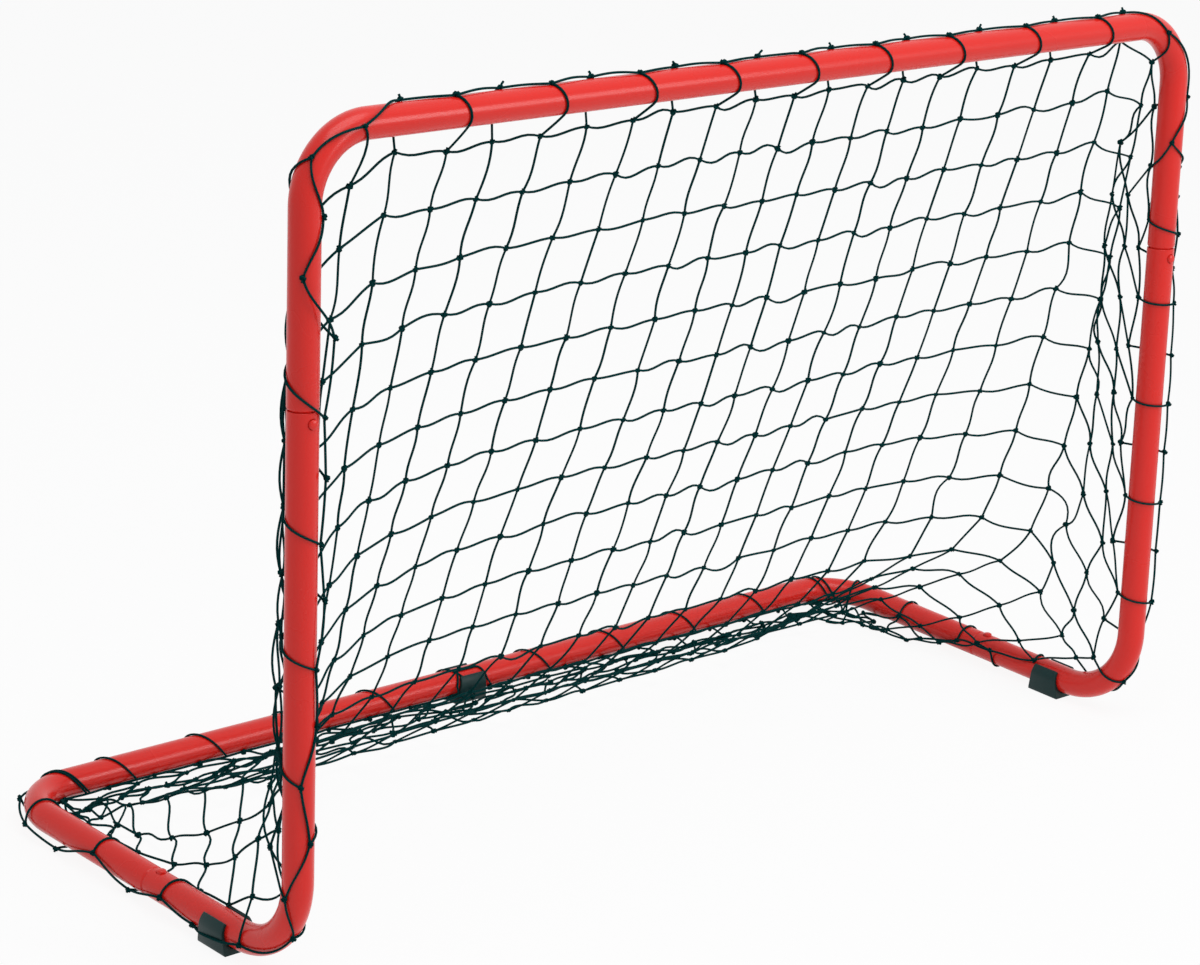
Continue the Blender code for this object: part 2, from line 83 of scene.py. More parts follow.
# the part's origin is in the middle of the frame's footprint, whose front is the outside of the foot bends
footTurn = math.pi / 2 + math.atan2(goal["setback"], goal["postHeight"])
foremost = goal["footBend"] * math.tan(footTurn / 2) - goal["footBend"] - goal["tubeRadius"]
middle = (foremost + goal["depth"] + goal["tubeRadius"]) / 2


def place(x, y, z):
    return np.array([x, y - middle, z + goal["floorAxis"]])


def mirrored(points):
    turned = np.array(points, float)
    turned[..., 0] *= -1
    return turned


def unit(vector):
    return vector / np.linalg.norm(vector)


def roundedPath(corners, radii, steps):
    points = [corners[0]]
    for before, corner, after, radius in zip(corners, corners[1:], corners[2:], radii):
        inward, onward = unit(before - corner), unit(after - corner)
        half = math.acos(float(inward @ onward)) / 2
        centre = corner + unit(inward + onward) * radius / math.sin(half)
        start = corner + inward * radius / math.tan(half) - centre
        end = corner + onward * radius / math.tan(half) - centre
        turn = math.pi - 2 * half
        for step in range(steps + 1):
            share = step / steps
            mix = start * math.sin((1 - share) * turn) + end * math.sin(share * turn)
            points.append(centre + mix / math.sin(turn))
    points.append(corners[-1])
    return np.array(points)


def feed(tree, node, values):
    # an input, by name or number, is linked where its value is a socket and set where it isn't
    for key, value in values.items():
        if isinstance(value, bpy.types.NodeSocket):
            tree.links.new(value, node.inputs[key])
        else:
            node.inputs[key].default_value = value


def nodeIn(tree, kind, spot=(0, 0), values=None, **settings):
    made = tree.nodes.new(kind)
    made.location = spot
    for key, value in settings.items():
        setattr(made, key, value)
    feed(tree, made, values or {})
    return made


def math2(tree, operation, first, second=None):
    values = {0: first} if second is None else {0: first, 1: second}
    return nodeIn(tree, "ShaderNodeMath", (0, 0), values, operation=operation).outputs[0]


# Camera: left post nearest, looking down into the goal
view = {
    "place": (-1.84208, -1.89320, 1.11362),
    "columns": (
        (0.7358395, 0.1628485, -0.6572828),
        (-0.6732586, 0.2799342, -0.6843681),
        (0.0725476, 0.9461063, 0.3156258),
    ),
    "sensor": 36,
    "focalPixels": 3607.1222,
    "photoWidth": 1200,
}


def setCamera():
    lens = bpy.data.cameras.new("camera")
    lens.lens = view["sensor"] * view["focalPixels"] / view["photoWidth"]
    lens.sensor_width = view["sensor"]
    lens.sensor_fit = "HORIZONTAL"
    lens.clip_start = 0.05
    lens.clip_end = 50
    eye = bpy.data.objects.new("camera", lens)
    eye.matrix_world = Matrix.Translation(view["place"]) @ Matrix(view["columns"]).to_4x4()
    scene.collection.objects.link(eye)
    scene.camera = eye


# Studio: an even pale room, one soft lamp above and one low at the side
studio = {
    "roomTone": (0.97, 0.98, 1.0, 1),
    "roomStrength": 0.43,
    "floorTone": 0.95,
    "floorSpeckle": 0.01,
    "floorReach": 12.0,
    "floorLift": 0.91,
    "lamps": (
        ("above", (-0.2, -0.7, 2.6), (0, 0, 0.25), (2.0, 1.6), 29),
        ("side", (1.5, -2.6, 1.2), (0, 0, 0.3), (1.4, 1.2), 23),
    ),
}


def seenRays(tree, spot):
    # what the camera sees, straight or by gloss and through glass
    path = nodeIn(tree, "ShaderNodeLightPath", spot).outputs
    shown = math2(tree, "MAXIMUM", path["Is Camera Ray"], path["Is Glossy Ray"])
    return math2(tree, "MAXIMUM", shown, path["Is Transmission Ray"])


def setStudio():
    white = (1, 1, 1, 1)
    room = bpy.data.worlds.new("room")
    room.use_nodes = True
    tree = room.node_tree
    tree.nodes.clear()
    lit = nodeIn(tree, "ShaderNodeBackground", (0, 100),
                 {"Color": studio["roomTone"], "Strength": studio["roomStrength"]})
    seen = nodeIn(tree, "ShaderNodeBackground", (0, -100), {"Color": white, "Strength": 1.0})
    mix = nodeIn(tree, "ShaderNodeMixShader", (300, 0),
                 {0: seenRays(tree, (-400, 300)), 1: lit.outputs[0], 2: seen.outputs[0]})
    nodeIn(tree, "ShaderNodeOutputWorld", (600, 0), {"Surface": mix.outputs[0]})
    scene.world = room
    for name, spot, aim, size, power in studio["lamps"]:
        data = bpy.data.lights.new(name, "AREA")
        data.shape = "RECTANGLE"
        data.size, data.size_y = size
        data.energy = power
        lamp = bpy.data.objects.new(name, data)
        lamp.location = spot
        lamp.rotation_euler = (Vector(aim) - Vector(spot)).to_track_quat("-Z", "Y").to_euler()
        scene.collection.objects.link(lamp)
    scene.view_settings.view_transform = "Standard"

    mesh = bpy.data.meshes.new("floor")
    far = studio["floorReach"]
    corners = [(-far, -far, 0), (far, -far, 0), (far, far, 0), (-far, far, 0)]
    mesh.from_pydata(corners, [], [(0, 1, 2, 3)])
    floor = bpy.data.objects.new("floor", mesh)
    scene.collection.objects.link(floor)
    look, tree, shader = newLook("paleFloor")
    coords = nodeIn(tree, "ShaderNodeTexCoord", (-800, 0))
    speckle = nodeIn(tree, "ShaderNodeTexNoise", (-600, 0),
                     {"Vector": coords.outputs["Object"], "Scale": 40, "Detail": 4})
    low, high = (studio["floorTone"] + way * studio["floorSpeckle"] for way in (-1, 1))
    tone = nodeIn(tree, "ShaderNodeMapRange", (-400, 0),
                  {"Value": speckle.outputs["Fac"], "To Min": low, "To Max": high})
    feed(tree, shader, {"Base Color": tone.outputs["Result"], "Roughness": 0.85, "Specular IOR Level": 0.1})
    glow = nodeIn(tree, "ShaderNodeEmission", (0, -300), {"Color": white})
    shown = math2(tree, "MULTIPLY", seenRays(tree, (-400, 400)), studio["floorLift"])
    mix = nodeIn(tree, "ShaderNodeMixShader", (300, 0), {0: shown, 1: shader.outputs[0], 2: glow.outputs[0]})
    feed(tree, tree.nodes["Material Output"], {"Surface": mix.outputs[0]})
    mesh.materials.append(look)


# Shader effects that several finishes share
def flawGroup():
    # uneven patches, fine grain and a few rubbed spots, all over object space
    tree = bpy.data.node_groups.new("surfaceFlaws", "ShaderNodeTree")
    usual = {"Patch scale": 9.0, "Grain scale": 900.0, "Wear scale": 60.0, "Wear amount": 0.2}
    for name, value in usual.items():
        socket = tree.interface.new_socket(name, in_out="INPUT", socket_type="NodeSocketFloat")
        socket.default_value = value
    for name in ("Patch", "Grain", "Wear"):
        tree.interface.new_socket(name, in_out="OUTPUT", socket_type="NodeSocketFloat")
    given = nodeIn(tree, "NodeGroupInput", (-900, 0)).outputs
    coords = nodeIn(tree, "ShaderNodeTexCoord", (-900, 300))
    masks = {}
    for name, height, values in (
        ("Patch", 300, {"Detail": 5, "Roughness": 0.6}),
        ("Grain", 0, {"Detail": 2}),
        ("Wear", -300, {"Detail": 8, "Roughness": 0.75}),
    ):
        values |= {"Vector": coords.outputs["Object"], "Scale": given[name + " scale"]}
        masks[name] = nodeIn(tree, "ShaderNodeTexNoise", (-500, height), values).outputs["Fac"]
    low = math2(tree, "SUBTRACT", 0.92, math2(tree, "MULTIPLY", given["Wear amount"], 0.45))
    edge = nodeIn(tree, "ShaderNodeMapRange", (-200, -300),
                  {"Value": masks["Wear"], "From Min": low, "From Max": 0.95})
    masks["Wear"] = edge.outputs["Result"]
    nodeIn(tree, "NodeGroupOutput", (600, 0), masks)
    return tree


def blendTone(tree, mask, first, second):
    tones = [(*tone, 1) if isinstance(tone, tuple) else tone for tone in (first, second)]
    mix = nodeIn(tree, "ShaderNodeMix", (-200, 200),
                 {"Factor": mask, 6: tones[0], 7: tones[1]}, data_type="RGBA")
    return mix.outputs[2]


def ranged(tree, value, low, high, fromLow=0.0, fromHigh=1.0):
    values = {"Value": value, "From Min": fromLow, "From Max": fromHigh, "To Min": low, "To Max": high}
    return nodeIn(tree, "ShaderNodeMapRange", (-200, -100), values).outputs["Result"]


def newLook(name):
    look = bpy.data.materials.new(name)
    look.use_nodes = True
    return look, look.node_tree, look.node_tree.nodes["Principled BSDF"]


def placeFlaws(tree, flaws, patch, grain, wear, amount):
    values = {"Patch scale": patch, "Grain scale": grain, "Wear scale": wear, "Wear amount": amount}
    return nodeIn(tree, "ShaderNodeGroup", (-700, 0), values, node_tree=flaws).outputs


def bumped(tree, height, strength, distance, shader):
    bump = nodeIn(tree, "ShaderNodeBump", (-100, -300),
                  {"Strength": strength, "Distance": distance, "Height": height})
    feed(tree, shader, {"Normal": bump.outputs["Normal"]})


# Finishes: flaws are the scales of patches, grain and wear, then how much wear;
# peel, grain and ply are the strength and depth of a bump
enamel = {
    "red": (0.80, 0.022, 0.014),
    "deepRed": (0.74, 0.016, 0.011),
    "rubbed": (0.62, 0.030, 0.022),
    "roughness": (0.22, 0.32),
    "rubbedRoughness": 0.18,
    "flaws": (7.0, 700.0, 180.0, 0.16),
    "peel": (0.35, 0.00006),
}


def enamelLook(flaws):
    look, tree, shader = newLook("redEnamel")
    marks = placeFlaws(tree, flaws, *enamel["flaws"])
    tone = blendTone(tree, marks["Patch"], enamel["deepRed"], enamel["red"])
    gloss = ranged(tree, marks["Patch"], *enamel["roughness"], 0.3, 0.7)
    rubbed = math2(tree, "MULTIPLY", marks["Wear"], enamel["rubbedRoughness"])
    feed(tree, shader, {
        "Base Color": blendTone(tree, marks["Wear"], tone, enamel["rubbed"]),
        "Roughness": math2(tree, "ADD", gloss, rubbed),
        "Specular IOR Level": 0.30, "Coat Weight": 0.08, "Coat Roughness": 0.10,
    })
    bumped(tree, marks["Grain"], *enamel["peel"], shader)
    return look


def grainedLook(name, finish, flaws, values):
    # one tone with worn spots over a fine grain
    look, tree, shader = newLook(name)
    marks = placeFlaws(tree, flaws, *finish["flaws"])
    feed(tree, shader, {
        "Base Color": blendTone(tree, marks["Wear"], finish["tone"], finish["worn"]),
        "Roughness": ranged(tree, marks["Patch"], *finish["roughness"]), **values,
    })
    bumped(tree, marks["Grain"], *finish["grain"], shader)
    return look


steel = {
    "tone": (0.66, 0.67, 0.69), "worn": (0.48, 0.47, 0.46), "roughness": (0.26, 0.42),
    "flaws": (160.0, 2400.0, 320.0, 0.6), "grain": (0.3, 0.00002),
}


def steelLook(flaws):
    return grainedLook("springSteel", steel, flaws, {"Metallic": 1.0})


plastic = {
    "tone": (0.001, 0.026, 0.026), "worn": (0.004, 0.042, 0.040), "roughness": (0.32, 0.48),
    "flaws": (45.0, 1600.0, 140.0, 0.7), "grain": (0.5, 0.00005),
}


def plasticLook(flaws):
    return grainedLook("clipPlastic", plastic, flaws, {"Specular IOR Level": 0.25})


twine = {
    # painted shade: the cord's colour darkened in the grooves between the plies
    "grooveShade": (0.0003, 0.017, 0.019),
    "light": (0.001, 0.042, 0.042),
    "fuzz": (0.004, 0.062, 0.060),
    "roughness": (0.62, 0.82),
    "flaws": (30.0, 5200.0, 420.0, 0.8),
    "plies": 3,
    "pliesPerMetre": 330.0,
    "ply": (0.8, 0.00012),
}


def twineLook(flaws):
    # laid cord: plies round the strand, from the place on the cord that each point carries; the grooves
    # between plies are darkened as painted shade, and the crowns keep the cord's colour
    look, tree, shader = newLook("netTwine")
    spot = nodeIn(tree, "ShaderNodeAttribute", (-1200, 0), attribute_name="cordPlace")
    parts = nodeIn(tree, "ShaderNodeSeparateXYZ", (-1000, 0), {0: spot.outputs["Vector"]}).outputs
    around = math2(tree, "ARCTAN2", parts["Y"], parts["X"])
    phase = math2(tree, "MULTIPLY", around, twine["plies"] / 2)
    lay = math2(tree, "MULTIPLY", parts["Z"], twine["pliesPerMetre"] * math.pi)
    ply = math2(tree, "ABSOLUTE", math2(tree, "SINE", math2(tree, "ADD", phase, lay)))
    marks = placeFlaws(tree, flaws, *twine["flaws"])
    # painted shade in the ply grooves, darkest where the ply bump is lowest
    tone = blendTone(tree, ply, twine["grooveShade"], twine["light"])
    feed(tree, shader, {
        "Base Color": blendTone(tree, marks["Wear"], tone, twine["fuzz"]),
        "Roughness": ranged(tree, marks["Patch"], *twine["roughness"], 0.3, 0.7),
        "Specular IOR Level": 0.03,
    })
    height = math2(tree, "ADD", ply, math2(tree, "MULTIPLY", marks["Grain"], 0.35))
    bumped(tree, height, *twine["ply"], shader)
    return look


# Frame tubes
def carried(points, first):
    # directions along the path and a side direction that is carried along without twist
    points = np.array(points)
    along = np.gradient(points, axis=0)
    for index in range(1, len(points) - 1):
        along[index] = unit(points[index + 1] - points[index]) + unit(points[index] - points[index - 1])
    along[0], along[-1] = points[1] - points[0], points[-1] - points[-2]
    along /= np.linalg.norm(along, axis=1)[:, None]
    sides = [unit(first - along[0] * (first @ along[0]))]
    for direction in along[1:]:
        side = sides[-1] - direction * (sides[-1] @ direction)
        sides.append(unit(side))
    return along, np.array(sides)


def ringPoints(centre, side, across, radius, sides):
    turns = [2 * math.pi * k / sides for k in range(sides)]
    return [centre + (side * math.cos(turn) + across * math.sin(turn)) * radius for turn in turns]


def ringFaces(rings, sides, closed=True):
    # quads between rings of points that follow one another
    faces = []
    for ring in range(rings if closed else rings - 1):
        here, there = ring * sides, (ring + 1) % rings * sides
        for k in range(sides):
            n = (k + 1) % sides
            faces.append((here + k, here + n, there + n, there + k))
    return faces


def smoothed(mesh, sharp=35):
    mesh.shade_smooth()
    mesh.set_sharp_from_angle(angle=math.radians(sharp))


def modified(piece):
    # the plain mesh that a piece's modifiers make
    bpy.context.view_layer.update()
    return bpy.data.meshes.new_from_object(piece.evaluated_get(bpy.context.evaluated_depsgraph_get()))


def meshPiece(name, verts, faces, look):
    mesh = bpy.data.meshes.new(name)
    mesh.from_pydata([tuple(v) for v in verts], [], faces)
    mesh.materials.append(look)
    shape = bmesh.new()
    shape.from_mesh(mesh)
    bmesh.ops.remove_doubles(shape, verts=shape.verts, dist=1e-7)
    bmesh.ops.recalc_face_normals(shape, faces=shape.faces)
    shape.to_mesh(mesh)
    shape.free()
    smoothed(mesh)
    made = bpy.data.objects.new(name, mesh)
    workshop.objects.link(made)
    return made


def tubeShell(name, points, radii, look, sides=56):
    # a hollow tube with rolled rims; the radii swage it down at its spigots
    along, side = carried(points, backward if abs(points[1][1] - points[0][1]) < 1e-3 else upward)
    wall, roll = goal["tubeWall"], goal["rimRoll"]
    last = len(points) - 1
    outside = list(zip(range(last + 1), radii, [roll, *[0.0] * (last - 1), -roll]))
    inside = [(index, radius - wall, shift) for index, radius, shift in outside[::-1]]
    rings = [(0, radii[0] - roll, 0.0), *outside, (last, radii[last] - roll, 0.0),
             (last, radii[last] - wall + roll, 0.0), *inside, (0, radii[0] - wall + roll, 0.0)]
    verts = []
    for index, radius, shift in rings:
        across = np.cross(along[index], side[index])
        verts += ringPoints(points[index] + along[index] * shift, side[index], across, radius, sides)
    return meshPiece(name, verts, ringFaces(len(rings), sides), look)


def drillHoles(piece, holes):
    # the holes go through the near side of the tube only
    reach = goal["tubeRadius"]
    cutters = []
    for centre, outward in holes:
        bpy.ops.mesh.primitive_cylinder_add(vertices=40, radius=goal["buttonHole"] / 2, depth=2 * reach)
        cutter = bpy.context.object
        cutter.location = Vector(centre) + Vector(outward) * reach
        cutter.rotation_euler = Vector(outward).to_track_quat("Z", "Y").to_euler()
        cut = piece.modifiers.new("hole", "BOOLEAN")
        cut.operation = "DIFFERENCE"
        cut.solver = "EXACT"
        cut.object = cutter
        cutters.append(cutter)
    mesh = modified(piece)
    piece.modifiers.clear()
    piece.data = mesh
    smoothed(mesh)
    for cutter in cutters:
        bpy.data.objects.remove(cutter, do_unlink=True)


spigotRadius = goal["tubeRadius"] - goal["tubeWall"] - goal["spigotClearance"]
seamDrop = goal["postSeam"] - goal["floorAxis"]
postRim = place(-goal["halfWidth"], goal["setback"] * seamDrop / goal["postHeight"], seamDrop)
floorRim = place(-goal["halfWidth"], goal["floorSeam"], 0)


def spigotEnd(rim, along):
    # points and radii from the spigot's tip to the full tube
    tip = rim - along * goal["spigotLength"]
    points = [tip, rim - along * 0.001, rim + along * goal["seamGap"]]
    radii = [spigotRadius] * 3
    for step in range(1, 6):
        share = step / 5
        points.append(rim + along * (goal["seamGap"] + goal["neckTaper"] * share))
        radii.append(spigotRadius + (goal["tubeRadius"] - spigotRadius) * math.sin(share * math.pi / 2))
    return points, radii


def makeTubes(look):
    radius = goal["tubeRadius"]
    down = goal["buttonFromRim"]
    for label, sign in (("left", 1), ("right", -1)):
        rims = [floorRim, place(-goal["halfWidth"], 0, 0), postRim]
        path = roundedPath(rims, [goal["footBend"]], 34)
        if sign < 0:
            path = mirrored(path)
        piece = tubeShell(label + "SideTube", path, [radius] * len(path), look)
        flip = np.array([sign, 1, 1])
        holes = [((postRim - lean * down) * flip, postFront), ((floorRim - backward * down) * flip, upward)]
        drillHoles(piece, holes)
        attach(piece, "side_frames")
        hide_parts(label + "_side_tube")
    for name, node, body, rim, onward, outward, corner, bend in (
        ("topFrameTube", "top_frame_tube", "top_frame", postRim, lean, postFront,
         place(-goal["halfWidth"], goal["setback"], goal["postHeight"]), goal["topBend"]),
        ("rearFrameTube", "rear_frame_tube", "rear_frame", floorRim, backward, upward,
         place(-goal["halfWidth"], goal["depth"], 0), goal["rearBend"]),
    ):
        ends, radii = spigotEnd(rim, onward)
        bends = roundedPath([ends[-1], corner, mirrored(corner), mirrored(ends[-1])], [bend] * 2, 30)
        path = ends + list(bends[1:-1]) + [mirrored(p) for p in ends[::-1]]
        piece = tubeShell(name, path, radii + [radius] * (len(bends) - 2) + radii[::-1], look)
        seat = rim - onward * down
        drillHoles(piece, [(seat, outward), (mirrored(seat), outward)])
        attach(piece, body)
        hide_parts(node)


# Snap buttons: a domed pin with a flange under the tube wall
button = {
    "radius": 0.0035, "proud": 0.0020, "dome": 0.0012, "fillet": 0.0002,
    "flange": 0.0045, "flangeThickness": 0.0010, "flangeEdge": 0.0001, "seat": 0.0003,
}


def makeButtons(look):
    radius, flange, fillet, edge = (button[key] for key in ("radius", "flange", "fillet", "flangeEdge"))
    spigotBore = spigotRadius - goal["tubeWall"]
    flangeTop = math.sqrt(spigotBore**2 - flange**2) - button["seat"]
    under = flangeTop - button["flangeThickness"]
    top = goal["tubeRadius"] + button["proud"]
    profile = []
    for step in range(9):
        turn = step / 8 * math.pi / 2
        profile.append((radius * math.sin(turn), top - button["dome"] * (1 - math.cos(turn))))
    profile += [(radius, flangeTop + fillet), (radius + fillet, flangeTop), (flange - edge, flangeTop),
                (flange, flangeTop - edge), (flange, under), (0, under)]
    sides = 48
    seams = (("post", postRim, lean, postFront), ("floor", floorRim, backward, upward))
    for label, sign in (("left", 1), ("right", -1)):
        for seam, rim, onward, outward in seams:
            centre = (rim - onward * goal["buttonFromRim"]) * np.array([sign, 1, 1])
            across = np.cross(onward, outward)
            verts = []
            for r, h in profile:
                verts += ringPoints(centre + outward * h, onward, across, r, sides)
            faces = ringFaces(len(profile), sides, closed=False)
            piece = meshPiece(f"{label}{seam.title()}Button", verts, faces, look)
            node = f"{label}_{seam}_button"
            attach(piece, node)
            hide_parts(node)


# Clip feet
clip = {
    "clearance": 0.0003, "wall": 0.0026, "topLength": 0.024, "soleLength": 0.032, "soleWidth": 0.024,
    "opening": 100, "sole": 0.004, "bevel": 0.0006,
    # the sides flare: past the sole's edge, at a share of the way down from the tube's axis
    "flare": ((0.0013, 0.38), (0.0008, 0.66), (0.0005, 0.86), (0.0, 1.0)),
}


def makeFeet(look):
    inner = goal["tubeRadius"] + clip["clearance"]
    outer = inner + clip["wall"]
    base = -(goal["tubeRadius"] + clip["sole"])
    first = math.radians(clip["opening"] / 2)
    outline = []
    steps = 44
    for step in range(steps + 1):
        turn = first + (2 * math.pi - 2 * first) * step / steps
        outline.append((inner * math.sin(turn), inner * math.cos(turn)))
    left = []
    for step in range(11):
        turn = 2 * math.pi - first - step / 10 * (math.pi / 2 - first)
        left.append((outer * math.sin(turn), outer * math.cos(turn)))
    left += [(-(clip["soleWidth"] / 2 + past), base * share) for past, share in clip["flare"]]
    outline += left + [(-x, z) for x, z in left[::-1]]
    top = outer * math.cos(first)
    leftSpot = place(-goal["halfWidth"], goal["footSetback"], 0)
    for name, node, body, centre, along in (
        ("leftFoot", "left_foot", "side_frames", leftSpot, backward),
        ("rightFoot", "right_foot", "side_frames", mirrored(leftSpot), backward),
        ("rearFoot", "rear_foot", "rear_frame", place(0, goal["depth"], 0), np.array([1.0, 0, 0])),
    ):
        across = np.cross(upward, along)
        shape = bmesh.new()
        ends = []
        for way in (-1, 1):
            ring = []
            for x, z in outline:
                share = (z - base) / (top - base)
                half = (clip["soleLength"] + (clip["topLength"] - clip["soleLength"]) * share) / 2
                ring.append(shape.verts.new(centre + across * x + upward * z + along * way * half))
            ends.append(ring)
        count = len(outline)
        for k in range(count):
            n = (k + 1) % count
            shape.faces.new((ends[0][k], ends[0][n], ends[1][n], ends[1][k]))
        shape.faces.new(ends[0][::-1])
        shape.faces.new(ends[1])
        bmesh.ops.recalc_face_normals(shape, faces=shape.faces)
        mesh = bpy.data.meshes.new(name)
        shape.to_mesh(mesh)
        shape.free()
        mesh.materials.append(look)
        piece = bpy.data.objects.new(name, mesh)
        workshop.objects.link(piece)
        bevel = piece.modifiers.new("soften", "BEVEL")
        bevel.width = clip["bevel"]
        bevel.segments = 3
        bevel.limit_method = "ANGLE"
        bevel.angle_limit = math.radians(40)
        piece.data = modified(piece)
        piece.modifiers.clear()
        smoothed(piece.data, 30)
        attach(piece, body)
        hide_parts(node)


# Net: a knotted rectangle whose edge is laced round the frame, hung by a small simulation
net = {
    "columns": 27,
    "rows": 20,
    "bar": 0.0436,
    "cordRadius": 0.0009,
    "knotSize": 0.00060,
    "seed": 3,
    "splitRow": 12,  # the upper piece ends above this row
    # the simulation: weight and backward push for each step, the speed kept at first and at the end
    "steps": 2400,
    "gravity": 1.5e-6,
    "push": 0.20,
    "drag": (0.985, 0.88),
    "leastDown": 0.018,
    "leastOver": 0.012,
    "floorHeight": 0.0024,
    # how firmly a step draws knots to their hang: the upper rows, the row below them, the columns beside the
    # left post, the height beside the right post, and the rope gathered on the floor
    "heldRows": 12,
    "hold": {"rows": 0.03, "rowBelow": 0.01, "leftPost": 0.20, "height": 0.02, "rope": 0.06},
    # knots of the top edge, along the frame from the middle of the crossbar, left to right
    "topStops": (-.511, -.473, -.438, -.400, -.359, -.316, -.273, -.232, -.191, -.151, -.112, -.071, -.031,
                 .008, .044, .085, .124, .164, .204, .251, .291, .336, .373, .413, .478, .513, .536, .560),
    "topAngles": {1: 136, 2: 32, 3: 80, 23: 86, 24: 36, 25: 130, 26: 10},
    # knots of the side edges: run along the frame, degrees round the tube from outward, millimetres off it
    "leftStops": ((.511, 48, 0), (.553, 144, 8), (.606, 140, 2), (.647, 142, 3.5), (.692, 138, .5),
                  (.731, 142, 3.5), (.777, 112, 0), (.817, 122, 0), (.858, 58, 0), (.899, 92, 0),
                  (.939, 10, 0), (.966, 78, 0), (1.012, 6, 0), (1.068, -34, 0), (1.104, 0, 0),
                  (1.144, -44, 2), (1.186, 14, 0), (1.233, -46, 4), (1.268, -24, 3), (1.292, 4, 2),
                  (1.316, -10, 0)),
    "rightStops": ((.560, 10, 0), (.590, 36, 1), (.619, 20, 0), (.647, 38, 2), (.691, 34, 3.5), (.732, 34, 4),
                   (.773, 34, 4), (.816, 34, 4), (.858, 34, 3.5), (.902, 36, 3), (.940, -8, 0), (.968, 96, 0),
                   (1.012, 6, 0), (1.066, -34, 0), (1.104, 0, 0), (1.140, -38, 0), (1.176, 6, 0),
                   (1.210, -38, 0), (1.242, 0, 0), (1.274, -30, 0), (1.304, -20, 0)),
    "rearPitch": 0.0423,
    # degrees where a first mesh leaves its tube: one that goes in front or over, one behind or under
    "leave": {"top": (180, -150), "left": (-65, 172), "right": (205, -100), "floor": (145, -165)},
    # way and degrees of the top meshes near the corners
    "cornerLeave": {1: (1, 172), 2: (-1, -100), 24: (-1, -100), 25: (1, 205), 26: (-1, -100)},
    # depth and height of the middle of the net, row by row
    "firstHang": ((.043, .582), (.046, .550), (.058, .509), (.069, .468), (.081, .426), (.090, .382),
                  (.102, .339), (.114, .296), (.128, .253), (.143, .213), (.156, .172), (.171, .135),
                  (.187, .099), (.206, .067), (.243, .040), (.280, .013), (.316, -.012), (.327, -.009),
                  (.308, -.004), (.322, .0), (.330, -.008)),
    "columnShift": 0.011,  # the columns hang this far right of their knots on the crossbar
    # cord more or less in the first meshes of the top edge
    "frontSpare": 0.011,
    "firstSpare": {3: -.008, 4: -.006, 5: -.003, 21: -.004, 22: -.009, 23: -.020, 24: -.010, 25: -.015,
                   26: -.013},
    # how far back the columns beside the posts hang, as a share of the middle of the net
    "besidePosts": {3: .42, 4: .57, 5: .92, 21: .88, 22: .65, 23: .38},
    # columns that hang right behind a post: x, distance behind its axis, more for each row after a row
    "behindPosts": {1: (-.444, .016, 9, .006), 2: (-.440, .027, 9, .008), 24: (.428, .047, 8, .010),
                    25: (.434, .029, 8.7, .011), 26: (.437, .014, 9, .008)},
    # how far above the middle of the net the held rows hang beside the right post
    "raised": {21: .003, 22: .013, 23: .001, 24: -.033, 25: -.070, 26: -.105},
    # rows gathered into a rope on the floor: depth, height, and how far aside
    "gathered": {16: (.306, -.0115, 0), 17: (.320, -.0105, .017), 18: (.315, -.0105, -.013),
                 19: (.322, -.0075, .010)},
}
rows, columns = net["rows"], net["columns"]
cordReach = goal["tubeRadius"] + net["cordRadius"] + 0.0001


def edgeAxis():
    # the frame's axis from the middle of the crossbar round the left side to the middle of the rear bar
    side = -goal["halfWidth"]
    back, up, depth = goal["setback"], goal["postHeight"], goal["depth"]
    corners = [place(0, back, up), place(side, back, up), place(side, 0, 0), place(side, depth, 0),
               place(0, depth, 0)]
    return roundedPath(corners, [goal["topBend"], goal["footBend"], goal["rearBend"]], 30)


axisPoints = edgeAxis()
axisRun = np.r_[0, np.cumsum(np.linalg.norm(np.diff(axisPoints, axis=0), axis=1))]
topBendEnd = goal["halfWidth"] - goal["topBend"] + goal["topBend"] * math.pi / 2
rearBarStart = axisRun[-1] - (goal["halfWidth"] - goal["rearBend"])
rearBendStart = rearBarStart - goal["rearBend"] * math.pi / 2
footEnd = topBendEnd + 0.5552  # from here the edge's angles are counted from above the floor tube
footStart = footEnd - goal["footBend"] * math.pi / 2


def axisAt(run):
    return np.array([np.interp(run, axisRun, axisPoints[:, k]) for k in range(3)])


def edgeFrame(run):
    # axis point, direction along the tube, outward and front directions
    point = axisAt(run)
    along = unit(axisAt(run + 0.002) - axisAt(run - 0.002))
    if footStart < run < footEnd:
        front = np.cross(leftward, along)
    else:
        front = upward if run >= footEnd else postFront
    front = unit(front - along * (front @ along))
    out = np.cross(along, front)
    if run < topBendEnd:
        want = upward + leftward * (run > goal["halfWidth"] - goal["topBend"])
    elif run < rearBarStart:
        want = leftward + backward * (run > rearBendStart)
    else:
        want = backward
    return point, along, out if out @ want > 0 else -out, front


def crosses(edge, index):
    # which edge meshes pass round the front of the tube, or over it at the floor
    if edge in ("top", "right"):
        return index % 2 == 1
    return index % 2 == 0


def onTube(spot, angle, lift=0.0):
    point, _, out, front = spot
    turn = math.radians(angle)
    return point + (out * math.cos(turn) + front * math.sin(turn)) * (cordReach + lift)


def flipped(spot):
    return tuple(mirrored(part) for part in spot)


